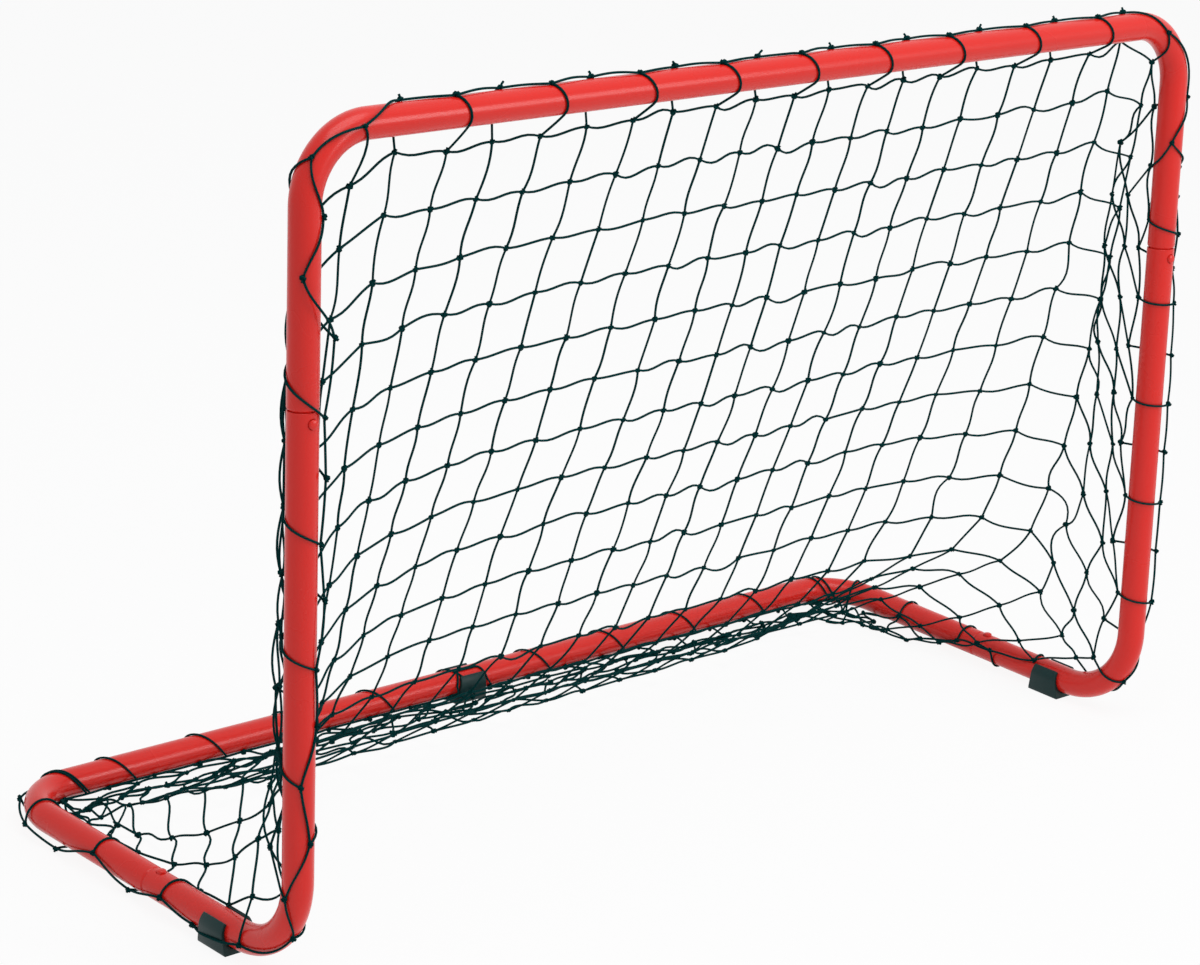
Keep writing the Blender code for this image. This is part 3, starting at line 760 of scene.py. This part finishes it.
def edgeSpot(edge, index):
    # frame, run, angle and stand-off of an edge knot; the right half is mirrored
    if edge == "top" and index in (0, columns):
        edge, index = ("left", 0) if index == 0 else ("right", 0)
    if edge == "rear" and index in (0, columns):
        edge, index = ("left", rows) if index == 0 else ("right", rows)
    if edge in ("left", "right"):
        run, angle, lift = net[edge + "Stops"][index]
        mirror = edge == "right"
    elif edge == "top":
        run, lift, mirror = abs(net["topStops"][index]), 0.0, net["topStops"][index] > 0
        angle = net["topAngles"].get(index, 12 if crosses("top", index) else -14)
    else:
        x = (index - columns / 2) * net["rearPitch"]
        x, mirror, lift = abs(x), x > 0, 0.0
        corner = net["rightStops" if mirror else "leftStops"][-1][0]
        local = columns - index if mirror else index
        run = axisRun[-1] - x
        if local < 4:
            fourth = abs(4 - columns / 2) * net["rearPitch"]
            run = corner + (axisRun[-1] - fourth - corner) * local / 4
        turn = min(1.0, max(0.0, (run - rearBendStart) / 0.06))
        angle = -38 * (1 - turn) - 142 * turn
    spot = edgeFrame(run)
    return (flipped(spot) if mirror else spot), run, angle, mirror, lift / 1000


def edgeKnot(edge, index):
    spot, _, angle, _, lift = edgeSpot(edge, index)
    return onTube(spot, angle, lift)


def leaving(edge, index):
    # the way that an edge mesh winds, where it leaves the tube, and the cord that is left from there
    spot, run, angle, _, lift = edgeSpot(edge, index)
    front = crosses(edge, index)
    part = edge if edge == "top" or run < footEnd else "floor"
    way = (1 if front else -1) * (-1 if part == "left" else 1)
    away = net["leave"][part][0 if front else 1]
    spare = 0.001
    if part == "top":
        way, away = net["cornerLeave"].get(index, (way, away))
        spare = (net["frontSpare"] if front else 0.001) + net["firstSpare"].get(index, 0.0)
    arc = math.radians((away - angle) * way) * cordReach
    least = 0.012 if part == "left" else 0.004
    return way, onTube(spot, away), max(least, net["bar"] + spare - arc - lift * 0.6)


fullAxis = np.concatenate([axisPoints, mirrored(axisPoints[::-1][1:])])
axisStart, axisStep = fullAxis[:-1], np.diff(fullAxis, axis=0)
axisSquare = (axisStep**2).sum(1)


def clearOfTubes(points, reach):
    # a copy of the points, with those that are inside the tubes pushed out
    flat = points.reshape(-1, 3)
    relative = flat[:, None, :] - axisStart[None]
    share = np.clip((relative * axisStep[None]).sum(2) / axisSquare[None], 0, 1)
    away = relative - axisStep[None] * share[..., None]
    distance = np.linalg.norm(away, axis=2)
    nearest = distance.argmin(1)
    picked = np.arange(len(flat))
    gap = distance[picked, nearest]
    push = np.maximum(reach - gap, 0) / np.maximum(gap, 1e-9)
    return (flat + away[picked, nearest] * push[:, None]).reshape(points.shape)


def pull(grid, loose, length, least, part):
    # draw every second pair of neighbours to within its cord, and a little apart if closer than the least
    a, b = grid[part:-1:2], grid[part + 1 :: 2]
    n = min(len(a), len(b))
    looseA, looseB = loose[part:-1:2][:n], loose[part + 1 :: 2][:n]
    gap = b[:n] - a[:n]
    distance = np.linalg.norm(gap, axis=-1)
    off = np.maximum(distance - length[part::2][:n], 0) + np.minimum(distance - least, 0) * 0.2
    share = off / np.maximum(distance, 1e-9) / np.maximum(looseA + looseB, 1e-9)
    a[:n] += gap * (share * looseA)[..., None]
    b[:n] += gap * (-share * looseB)[..., None]


def firstKnots():
    # the middle of the net in its first hang, drawn to the tubes at both sides
    knots = np.zeros((rows + 1, columns + 1, 3))
    for r in range(rows + 1):
        left, right = edgeSpot("left", r)[0][0], edgeSpot("right", r)[0][0]
        for c in range(columns + 1):
            x = goal["halfWidth"] * (2 * c / columns - 1)
            share = abs(2 * c / columns - 1) ** 5
            knots[r, c] = place(x, *net["firstHang"][r]) * (1 - share) + (left if x < 0 else right) * share
            if r < 6:
                knots[r, c, 0] = edgeSpot("top", c)[0][0][0]
    return knots


def hungColumns(target):
    # where the columns hang: back from the crossbar, less so beside the posts, and close behind them
    hung = target.copy()
    front = net["firstHang"][0][0]
    for r, (y, z) in enumerate(net["firstHang"]):
        for c in range(1, columns):
            share = net["besidePosts"].get(c, 1.0)
            spot = place(net["topStops"][c] + net["columnShift"], front + (y - front) * share, z)
            if c in net["behindPosts"]:
                x, after, row, more = net["behindPosts"][c]
                after += max(0, r - row) * more
                spot = place(x, goal["setback"] * max(z, 0) / goal["postHeight"] + after, z)
            hung[r, c, :2] = spot[:2]
            hung[r, c, 2] = z + goal["floorAxis"] + net["raised"].get(c, 0.0)
    return hung


def hangNet():
    dice = np.random.default_rng(net["seed"])
    knots = firstKnots()
    # the edge: where each strand leaves its tube, and how much cord is left from there
    down = np.full((rows, columns + 1), net["bar"])
    over = np.full((rows + 1, columns), net["bar"])
    for c in range(columns + 1):
        _, knots[0, c], down[0, c] = leaving("top", c)
        knots[rows, c] = edgeKnot("rear", c)
    for r in range(rows + 1):
        _, knots[r, 0], over[r, 0] = leaving("left", r)
        _, knots[r, columns], over[r, -1] = leaving("right", r)
    free = np.zeros((rows + 1, columns + 1), bool)
    free[1:-1, 1:-1] = True
    target = knots.copy()
    grip = np.zeros(free.shape)
    for r, (y, z, aside) in net["gathered"].items():
        for c in range(1, columns):
            wander = dice.normal(size=3) * (0.005, 0.0022, 0.001)
            target[r, c] = place(0, y, z) + wander
            target[r, c, 0] = knots[rows, c, 0] * 0.97 + wander[0] + aside
            grip[r, c] = min(1, max(0, (min(c, columns - c) - 3) / 3)) * net["hold"]["rope"]
    hung = hungColumns(target)
    held = net["heldRows"]
    hold = np.zeros((*free.shape, 3))
    hold[1:held, 1:-1, :2] = net["hold"]["rows"]
    hold[held, 1:-1, :2] = net["hold"]["rowBelow"]
    hold[1 : held - 1, 1:3, :2] = net["hold"]["leftPost"]
    hold[6:held, min(net["raised"]) : -1, 2] = net["hold"]["height"]
    weight = free.astype(float)
    speed = np.zeros_like(knots)
    rough = dice.normal(size=knots.shape) * 1e-7
    backPush = net["push"] * np.clip(1.15 - (np.abs(knots[..., 0]) / goal["halfWidth"]) ** 8, 0.15, 1)
    gravity, lowest = net["gravity"], net["floorHeight"]
    for step in range(net["steps"]):
        speed *= net["drag"][0 if step < net["steps"] * 0.6 else 1]
        speed[..., 2] -= gravity
        speed[..., 1] += gravity * backPush * (knots[..., 2] > 0.0022)
        if step < 400:
            speed += rough
        before = knots.copy()
        knots[free] += speed[free]
        for _ in range(4):
            for part in (0, 1):
                pull(knots, weight, down, net["leastDown"], part)
                pull(knots.swapaxes(0, 1), weight.T, over.T, net["leastOver"], part)
        knots += (target - knots) * grip[..., None]
        knots += (hung - knots) * hold
        mean = knots.copy()
        mean[1:-1, 1:-1] = (knots[:-2, 1:-1] + knots[2:, 1:-1] + knots[1:-1, :-2] + knots[1:-1, 2:]) / 4
        knots[free] += (mean[free] - knots[free]) * 0.0003
        # knots that lie on the floor drag over it
        low = (knots[..., 2] < lowest) & free
        knots[..., 2] = np.where(low, lowest, knots[..., 2])
        knots -= (knots - before) * low[..., None] * np.array([0.5, 0.5, 0])
        if step % 4 == 0:
            knots[free] = clearOfTubes(knots[free], cordReach + 0.0012)
        speed = np.where(free[..., None], knots - before, 0)
    return knots, down, over


def wound(spot, angle, onward, target, shift=0.0, lift=0.0):
    # a strand from its place on the tube, round it, and straight on to a knot
    point, along, out, front = spot
    offset = target - point
    flatX, flatY, flatZ = offset @ out, offset @ front, offset @ along
    distance = max(math.hypot(flatX, flatY), cordReach * 1.02)
    leave = math.atan2(flatY, flatX) - onward * math.acos(cordReach / distance)
    start = math.radians(angle)
    sweep = (onward * (leave - start)) % (2 * math.pi)
    if sweep > 1.75 * math.pi:
        sweep = 0.0
    arc = cordReach * sweep
    straight = math.sqrt(distance**2 - cordReach**2)
    total = arc + straight
    points = []
    turns = max(2, int(sweep / 0.25))
    for step in range(turns + 1):
        turn = start + onward * sweep * step / turns
        share = arc * step / turns / total
        reach = cordReach + lift * max(0.0, 1 - 2.2 * step / turns) ** 1.5
        points.append(point + (out * math.cos(turn) + front * math.sin(turn)) * reach + along * flatZ * share)
    for step in range(1, 6):
        points.append(points[turns] + (target - points[turns]) * step / 5)
    points = np.array(points)
    share = np.r_[0, np.cumsum(np.linalg.norm(np.diff(points, axis=0), axis=1))]
    share /= share[-1]
    return points + along * (shift * np.sin(math.pi * share) * (1.3 - 0.6 * share))[:, None]


def bar(a, b, length, across, sway, count=9):
    # a slack bar of the net between two knots: an S or a bow of the right length
    share = np.linspace(0, 1, count)[:, None]
    chord = b - a
    distance = np.linalg.norm(chord)
    across = across - chord * (across @ chord) / max(distance**2, 1e-12)
    across = unit(across)
    line = a + chord * share
    snake, bow = sway
    if distance > 0.62 * length:
        slack = max(length - distance, 0) / distance
        swing = min(0.95, math.sqrt(slack / (0.1 * snake**2 + 0.167 * bow**2 + 1e-9)))
        curve = snake * (share - 3 * share**2 + 2 * share**3) + bow * (share - share**2)
        return line + across * curve * swing * distance
    lift = 0.40 * math.sqrt(max(length**2 - distance**2, 0))
    curve = math.copysign(1, bow) * np.sin(math.pi * share) + 0.35 * snake * np.sin(2 * math.pi * share)
    return line + across * curve * lift


def edgeCord(placeA, placeB, slack):
    # the border cord along the tube between two places: run, angle, stand-off and side
    runA, angleA, liftA, mirror = placeA
    runB, angleB, liftB, _ = placeB
    points = []
    count = 13
    past = runA < footEnd < runB
    if past:
        angleB = -angleB
    for step in range(count + 1):
        share = step / count
        run = runA + (runB - runA) * share
        smooth = share * share * (3 - 2 * share)
        angle = angleA + (angleB - angleA) * (0.5 * share + 0.5 * smooth)
        spot = edgeFrame(run)
        lift = liftA + (liftB - liftA) * share + slack * math.sin(math.pi * share)
        if past and run > footEnd:
            angle = -angle
        # round the outside of a clip foot, and over the rear bar where its clip is open
        aside = abs(spot[0][1] + middle - goal["footSetback"])
        if footStart < run < rearBendStart:
            near = min(1.0, max(0.0, (0.0225 - aside) / 0.006))
            lift = max(lift, 0.0032 * near * near * (3 - 2 * near))
        if run > rearBarStart:
            near = min(1.0, max(0.0, 2.2 - abs(spot[0][0]) / 0.0092))
            angle += (-250 - angle) * near * near * (3 - 2 * near)
        points.append(onTube(flipped(spot) if mirror else spot, angle, lift))
    return np.array(points)


def half(r):
    return "upper" if r < net["splitRow"] else "lower"


def slackBars(knots, down, over, dice):
    # the bars between the inner knots, each with its own slack, and the inner knots
    strands, spots = [], []
    turn = dice.normal(size=(rows + 1, columns + 1)) * 0.6
    gridDown = np.gradient(knots, axis=0)
    gridOver = np.gradient(knots, axis=1)
    normals = np.cross(gridOver, gridDown)
    normals /= np.maximum(np.linalg.norm(normals, axis=-1, keepdims=True), 1e-9)
    for r in range(1, rows):
        for c in range(1, columns):
            here, facing, twist = knots[r, c], normals[r, c], turn[r, c]
            spots.append((here, half(r), gridOver[r, c], facing))
            # the bar down to the next row
            below = knots[r + 1, c]
            near = np.linalg.norm(below - here)
            across = unit(gridOver[r, c] + gridOver[r + 1, c]) + facing * dice.normal() * 0.7
            sway = (twist + turn[r + 1, c], (twist - turn[r + 1, c]) * 0.5 + 0.15 * dice.normal())
            length = max(down[r, c], near * 1.006)
            if r < 15:
                length = min(length, near * 1.10 + 0.002)
            elif min(c, columns - c) > 3:
                across = backward * dice.choice([-1, 1]) + upward * (0.25 * dice.random())
                across = across + dice.normal(size=3) * 0.15
                length = min(length, near * 1.25 + 0.004)
            strands.append((bar(here, below, length, across, sway), half(r)))
            if c == columns - 1:
                continue
            # the bar across to the next column
            beside = knots[r, c + 1]
            near = np.linalg.norm(beside - here)
            across = -unit(gridDown[r, c] + gridDown[r, c + 1]) + facing * dice.normal() * 0.4
            sway = (0.5 * (twist + turn[r, c + 1]) - 0.9, (twist - turn[r, c + 1]) * 0.4 - 0.1)
            length = near * (1.07 if 3 < c < columns - 5 and r < 15 else 1.18) + 0.001
            if c == 1 and r < 12:
                # slack loops that stand out beside the left post
                across, sway, length = np.array([-1.0, 0.5, 0.2 * dice.normal()]), (0.2, 1.0), over[r, c]
            length = max(min(over[r, c], length), near * 1.018)
            strands.append((bar(here, beside, length, across, sway), half(r)))
    return strands, spots


def strandsOf(knots, down, over):
    # every strand as points, with the half of the net that it belongs to
    dice = np.random.default_rng(net["seed"] + 8)
    strands, spots = slackBars(knots, down, over, dice)
    proud = 0.0007  # a knot on the tube stands off by this much
    # first meshes, wound round the tubes, and the knots of the border
    for c in range(1, columns):
        spot, _, angle, mirror, _ = edgeSpot("top", c)
        shift = (0.006 if mirror else -0.006) if crosses("top", c) else 0.0
        strands.append((wound(spot, angle, leaving("top", c)[0], knots[1, c], shift), "upper"))
        spots.append((onTube(spot, angle, proud), "upper", spot[1], spot[2]))
        spot, run, angle, mirror, _ = edgeSpot("rear", c)
        spots.append((onTube(spot, angle, proud), "lower", spot[1], spot[2]))
        if c % 2 == 1 and run > rearBendStart + 0.05:
            strands.append((hitch(run, angle, mirror), "lower"))
    for r in range(rows + 1):
        for edge, inner in (("left", 1), ("right", columns - 1)):
            spot, _, angle, _, lift = edgeSpot(edge, r)
            if 0 < r < rows:
                strands.append((wound(spot, angle, leaving(edge, r)[0], knots[r, inner], 0.0, lift), half(r)))
            spots.append((onTube(spot, angle, lift + proud), half(r), spot[1], spot[2]))
    # the border cord
    for edge, count in (("top", columns), ("left", rows), ("right", rows), ("rear", columns)):
        for k in range(count):
            part = {"top": "upper", "rear": "lower"}.get(edge, half(k))
            _, runA, angleA, mirrorA, liftA = edgeSpot(edge, k)
            _, runB, angleB, mirrorB, liftB = edgeSpot(edge, k + 1)
            slack = 0.0001 + 0.0014 * dice.random() ** 2
            if mirrorA == mirrorB:
                cord = edgeCord((runA, angleA, liftA, mirrorA), (runB, angleB, liftB, mirrorB), slack)
                strands.append((cord, part))
            else:
                centre = 0.0 if edge == "top" else axisRun[-1]
                mid = (angleA + angleB) / 2
                first = edgeCord((runA, angleA, liftA, mirrorA), (centre, mid, 0.0, mirrorA), 0.0)
                second = edgeCord((centre, mid, 0.0, mirrorB), (runB, angleB, liftB, mirrorB), 0.0)
                strands.append((np.concatenate([first, second[1:]]), part))
    # clipped ends of the lacing, standing off the crossbar
    for c in range(4, columns - 4, 2):
        spot, _, angle, _, _ = edgeSpot("top", c)
        root = onTube(spot, angle, proud)
        tip = root + spot[2] * 0.0032 + spot[1] * dice.normal() * 0.003 - spot[3] * dice.random() * 0.002
        strands.append((np.array([root, root + (tip - root) * 0.5 + spot[2] * 0.0004, tip]), "upper"))
    floorHeight = net["cordRadius"] + 0.0001
    footFront = 0.3265 - middle  # the cord stays in front of the rear foot
    cleared = []
    for points, part in strands:
        for _ in range(2):
            points = clearOfTubes(points, cordReach)
            if len(points) > 4:
                points[1:-1] = points[1:-1] * 0.5 + (points[:-2] + points[2:]) * 0.25
        points = clearOfTubes(points, cordReach)
        points[:, 2] = np.maximum(points[:, 2], floorHeight + 0.0012 * dice.random())
        nearFoot = (np.abs(points[:, 0]) < 0.0185) & (points[:, 1] > footFront) & (points[:, 2] < 0.012)
        points[:, 1] = np.where(nearFoot, footFront, points[:, 1])
        cleared.append((points, part))
    return cleared, spots


def hitch(run, angle, mirror):
    # a turn of cord round the rear bar: from its node behind and over, then slanting down the front
    points = []
    for step in range(29):
        share = step / 28
        slide = 0.026 * max(0.0, (share - 0.52) / 0.48) ** 1.3
        spot = edgeFrame(min(run + (-slide if mirror else slide), axisRun[-1] - 0.0005))
        points.append(onTube(flipped(spot) if mirror else spot, angle + 360 * share, 0.0003))
    return np.array(points)


def knotShape(look):
    # a small overhand knot in thick cord
    steps, sides = 15, 4
    verts, spot = [], []
    t = np.arange(steps) * 2 * math.pi / steps
    line = np.stack([np.sin(t) + 2 * np.sin(2 * t), np.cos(t) - 2 * np.cos(2 * t), -1.5 * np.sin(3 * t)], 1)
    onward = np.roll(line, -1, 0) - np.roll(line, 1, 0)
    for k in range(steps):
        along = unit(onward[k])
        side = unit(line[k] - along * (line[k] @ along))
        across = np.cross(along, side)
        for s in range(sides):
            turn = 2 * math.pi * (s + 0.5) / sides
            verts.append(line[k] + (side * math.cos(turn) + across * math.sin(turn)) * 1.75)
            spot.append((math.cos(turn), math.sin(turn), k * 0.0012))
    mesh = bpy.data.meshes.new("knotShape")
    mesh.from_pydata([tuple(v) for v in verts], [], ringFaces(steps, sides))
    held = mesh.attributes.new("cordPlace", "FLOAT_VECTOR", "POINT")
    held.data.foreach_set("vector", np.array(spot).ravel())
    mesh.materials.append(look)
    mesh.shade_smooth()
    made = bpy.data.objects.new("knotShape", mesh)
    workshop.objects.link(made)
    return made


def cordTree():
    # strands become round cord, marked points become knots
    tree = bpy.data.node_groups.new("knottedCord", "GeometryNodeTree")
    face = tree.interface
    face.new_socket("Geometry", in_out="INPUT", socket_type="NodeSocketGeometry")
    names = {}
    for name, kind, value in (
        ("Cord radius", "Float", 0.00075), ("Sides", "Int", 6), ("Knot", "Object", None),
        ("Knot size", "Float", 0.0005), ("Seed", "Int", 4), ("Finish", "Material", None),
    ):
        socket = face.new_socket(name, in_out="INPUT", socket_type="NodeSocket" + kind)
        if value is not None:
            socket.default_value = value
        names[name] = socket.identifier
    face.new_socket("Geometry", in_out="OUTPUT", socket_type="NodeSocketGeometry")
    given = nodeIn(tree, "NodeGroupInput", (-1200, 0)).outputs
    # the strands and the ring that is drawn along them, each with its place kept
    strand = nodeIn(tree, "GeometryNodeMeshToCurve", (-900, 200), {0: given["Geometry"]})
    run = nodeIn(tree, "GeometryNodeSplineParameter", (-900, 0))
    ring = nodeIn(tree, "GeometryNodeCurvePrimitiveCircle", (-900, -200),
                  {"Resolution": given["Sides"], "Radius": given["Cord radius"]})
    spot = nodeIn(tree, "GeometryNodeInputPosition", (-900, -400))
    kept = []
    for kind, name, height, curve, value in (
        ("FLOAT", "Run", 200, strand.outputs[0], run.outputs["Length"]),
        ("VECTOR", "Around", -200, ring.outputs[0], spot.outputs[0]),
    ):
        keep = nodeIn(tree, "GeometryNodeCaptureAttribute", (-600, height), domain="POINT")
        keep.capture_items.new(kind, name)
        feed(tree, keep, {0: curve, 1: value})
        kept.append(keep.outputs)
    (line, along), (profile, around) = ((outputs[0], outputs[1]) for outputs in kept)
    cord = nodeIn(tree, "GeometryNodeCurveToMesh", (-300, 100),
                  {"Fill Caps": True, "Curve": line, "Profile Curve": profile})
    parts = nodeIn(tree, "ShaderNodeSeparateXYZ", (-300, -200), {0: around}).outputs
    joined = nodeIn(tree, "ShaderNodeCombineXYZ", (0, -200), {"X": parts["X"], "Y": parts["Y"], "Z": along})
    stored = nodeIn(tree, "GeometryNodeStoreNamedAttribute", (200, 100),
                    {"Name": "cordPlace", "Geometry": cord.outputs[0], "Value": joined.outputs[0]},
                    data_type="FLOAT_VECTOR", domain="POINT")
    smooth = nodeIn(tree, "GeometryNodeSetShadeSmooth", (400, 100), {"Geometry": stored.outputs[0]})
    # the knots, turned as their points say and each a little larger or smaller
    knot = nodeIn(tree, "GeometryNodeObjectInfo", (-300, -500), {"Object": given["Knot"]})
    marked = nodeIn(tree, "GeometryNodeInputNamedAttribute", (-300, -700), {"Name": "isKnot"},
                    data_type="BOOLEAN")
    turned = nodeIn(tree, "GeometryNodeInputNamedAttribute", (-300, -900), {"Name": "knotTurn"},
                    data_type="FLOAT_VECTOR")
    size = nodeIn(tree, "FunctionNodeRandomValue", (-300, -1100), {2: 0.88, 3: 1.15, "Seed": given["Seed"]},
                  data_type="FLOAT")
    placed = nodeIn(tree, "GeometryNodeInstanceOnPoints", (100, -500), {
        "Points": given["Geometry"], "Selection": marked.outputs[0], "Instance": knot.outputs["Geometry"],
        "Rotation": turned.outputs[0], "Scale": math2(tree, "MULTIPLY", size.outputs[1], given["Knot size"]),
    })
    both = nodeIn(tree, "GeometryNodeJoinGeometry", (600, 0), {0: placed.outputs[0]})
    feed(tree, both, {0: smooth.outputs[0]})
    real = nodeIn(tree, "GeometryNodeRealizeInstances", (800, 0), {0: both.outputs[0]})
    finish = nodeIn(tree, "GeometryNodeSetMaterial", (1000, 0),
                    {"Geometry": real.outputs[0], "Material": given["Finish"]})
    nodeIn(tree, "NodeGroupOutput", (1200, 0), {0: finish.outputs[0]})
    return tree, names


def makeNet(look):
    knots, down, over = hangNet()
    print("net hung: lowest knot", round(float(knots[1:-1, 1:-1, 2].min()), 4))
    strands, spots = strandsOf(knots, down, over)
    shape = knotShape(look)
    tree, names = cordTree()
    dice = np.random.default_rng(net["seed"] + 20)
    made = {}
    for part in ("upper", "lower"):
        verts, edges = [], []
        for points, owner in strands:
            if owner != part:
                continue
            first = len(verts)
            verts += [tuple(p) for p in points]
            edges += [(first + k, first + k + 1) for k in range(len(points) - 1)]
        isKnot = [False] * len(verts)
        turns = [(0.0, 0.0, 0.0)] * len(verts)
        for spot, owner, across, facing in spots:
            if owner != part:
                continue
            verts.append(tuple(spot))
            isKnot.append(True)
            z = unit(np.array(facing))
            x = np.array(across) - z * (np.array(across) @ z)
            x = unit(x) if np.linalg.norm(x) > 1e-6 else unit(np.cross(z, upward + 0.1))
            matrix = Matrix(np.stack([x, np.cross(z, x), z], 1).tolist())
            angles = (matrix @ Matrix.Rotation(dice.uniform(0, 6.28), 3, "Z")).to_euler()
            turns.append(tuple(angles))
        mesh = bpy.data.meshes.new("netLines")
        mesh.from_pydata(verts, edges, [])
        mesh.attributes.new("isKnot", "BOOLEAN", "POINT").data.foreach_set("value", isKnot)
        held = mesh.attributes.new("knotTurn", "FLOAT_VECTOR", "POINT")
        held.data.foreach_set("vector", np.array(turns).ravel())
        guide = bpy.data.objects.new("netLines", mesh)
        workshop.objects.link(guide)
        work = guide.modifiers.new("cord", "NODES")
        work.node_group = tree
        for name, value in (("Cord radius", net["cordRadius"]), ("Sides", 6), ("Knot", shape),
                            ("Knot size", net["knotSize"]), ("Seed", 4), ("Finish", look)):
            work[names[name]] = value
        result = modified(guide)
        result.name = part + "Net"
        piece = bpy.data.objects.new(part + "Net", result)
        workshop.objects.link(piece)
        bpy.data.objects.remove(guide, do_unlink=True)
        made[part] = piece
        print(part, "net:", sum(len(p.vertices) - 2 for p in result.polygons), "triangles")
    bpy.data.objects.remove(shape, do_unlink=True)
    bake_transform(made["upper"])
    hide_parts("net_back", "top_lacing", "left_side_lacing", "right_side_lacing")
    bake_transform(made["lower"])
    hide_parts("net_left_side", "net_right_side", "rear_lacing")


print("studio")
setCamera()
setStudio()
flaws = flawGroup()
red = enamelLook(flaws)
print("tubes")
makeTubes(red)
print("buttons and feet")
makeButtons(red)
makeFeet(plasticLook(flaws))
springLook = steelLook(flaws)
for node in ("left_post_spring", "right_post_spring", "left_floor_spring", "right_floor_spring"):
    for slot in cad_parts[node].material_slots:
        slot.material = springLook
print("net")
makeNet(twineLook(flaws))
for block in list(bpy.data.meshes):
    if block.users == 0:
        bpy.data.meshes.remove(block)
print("finish")
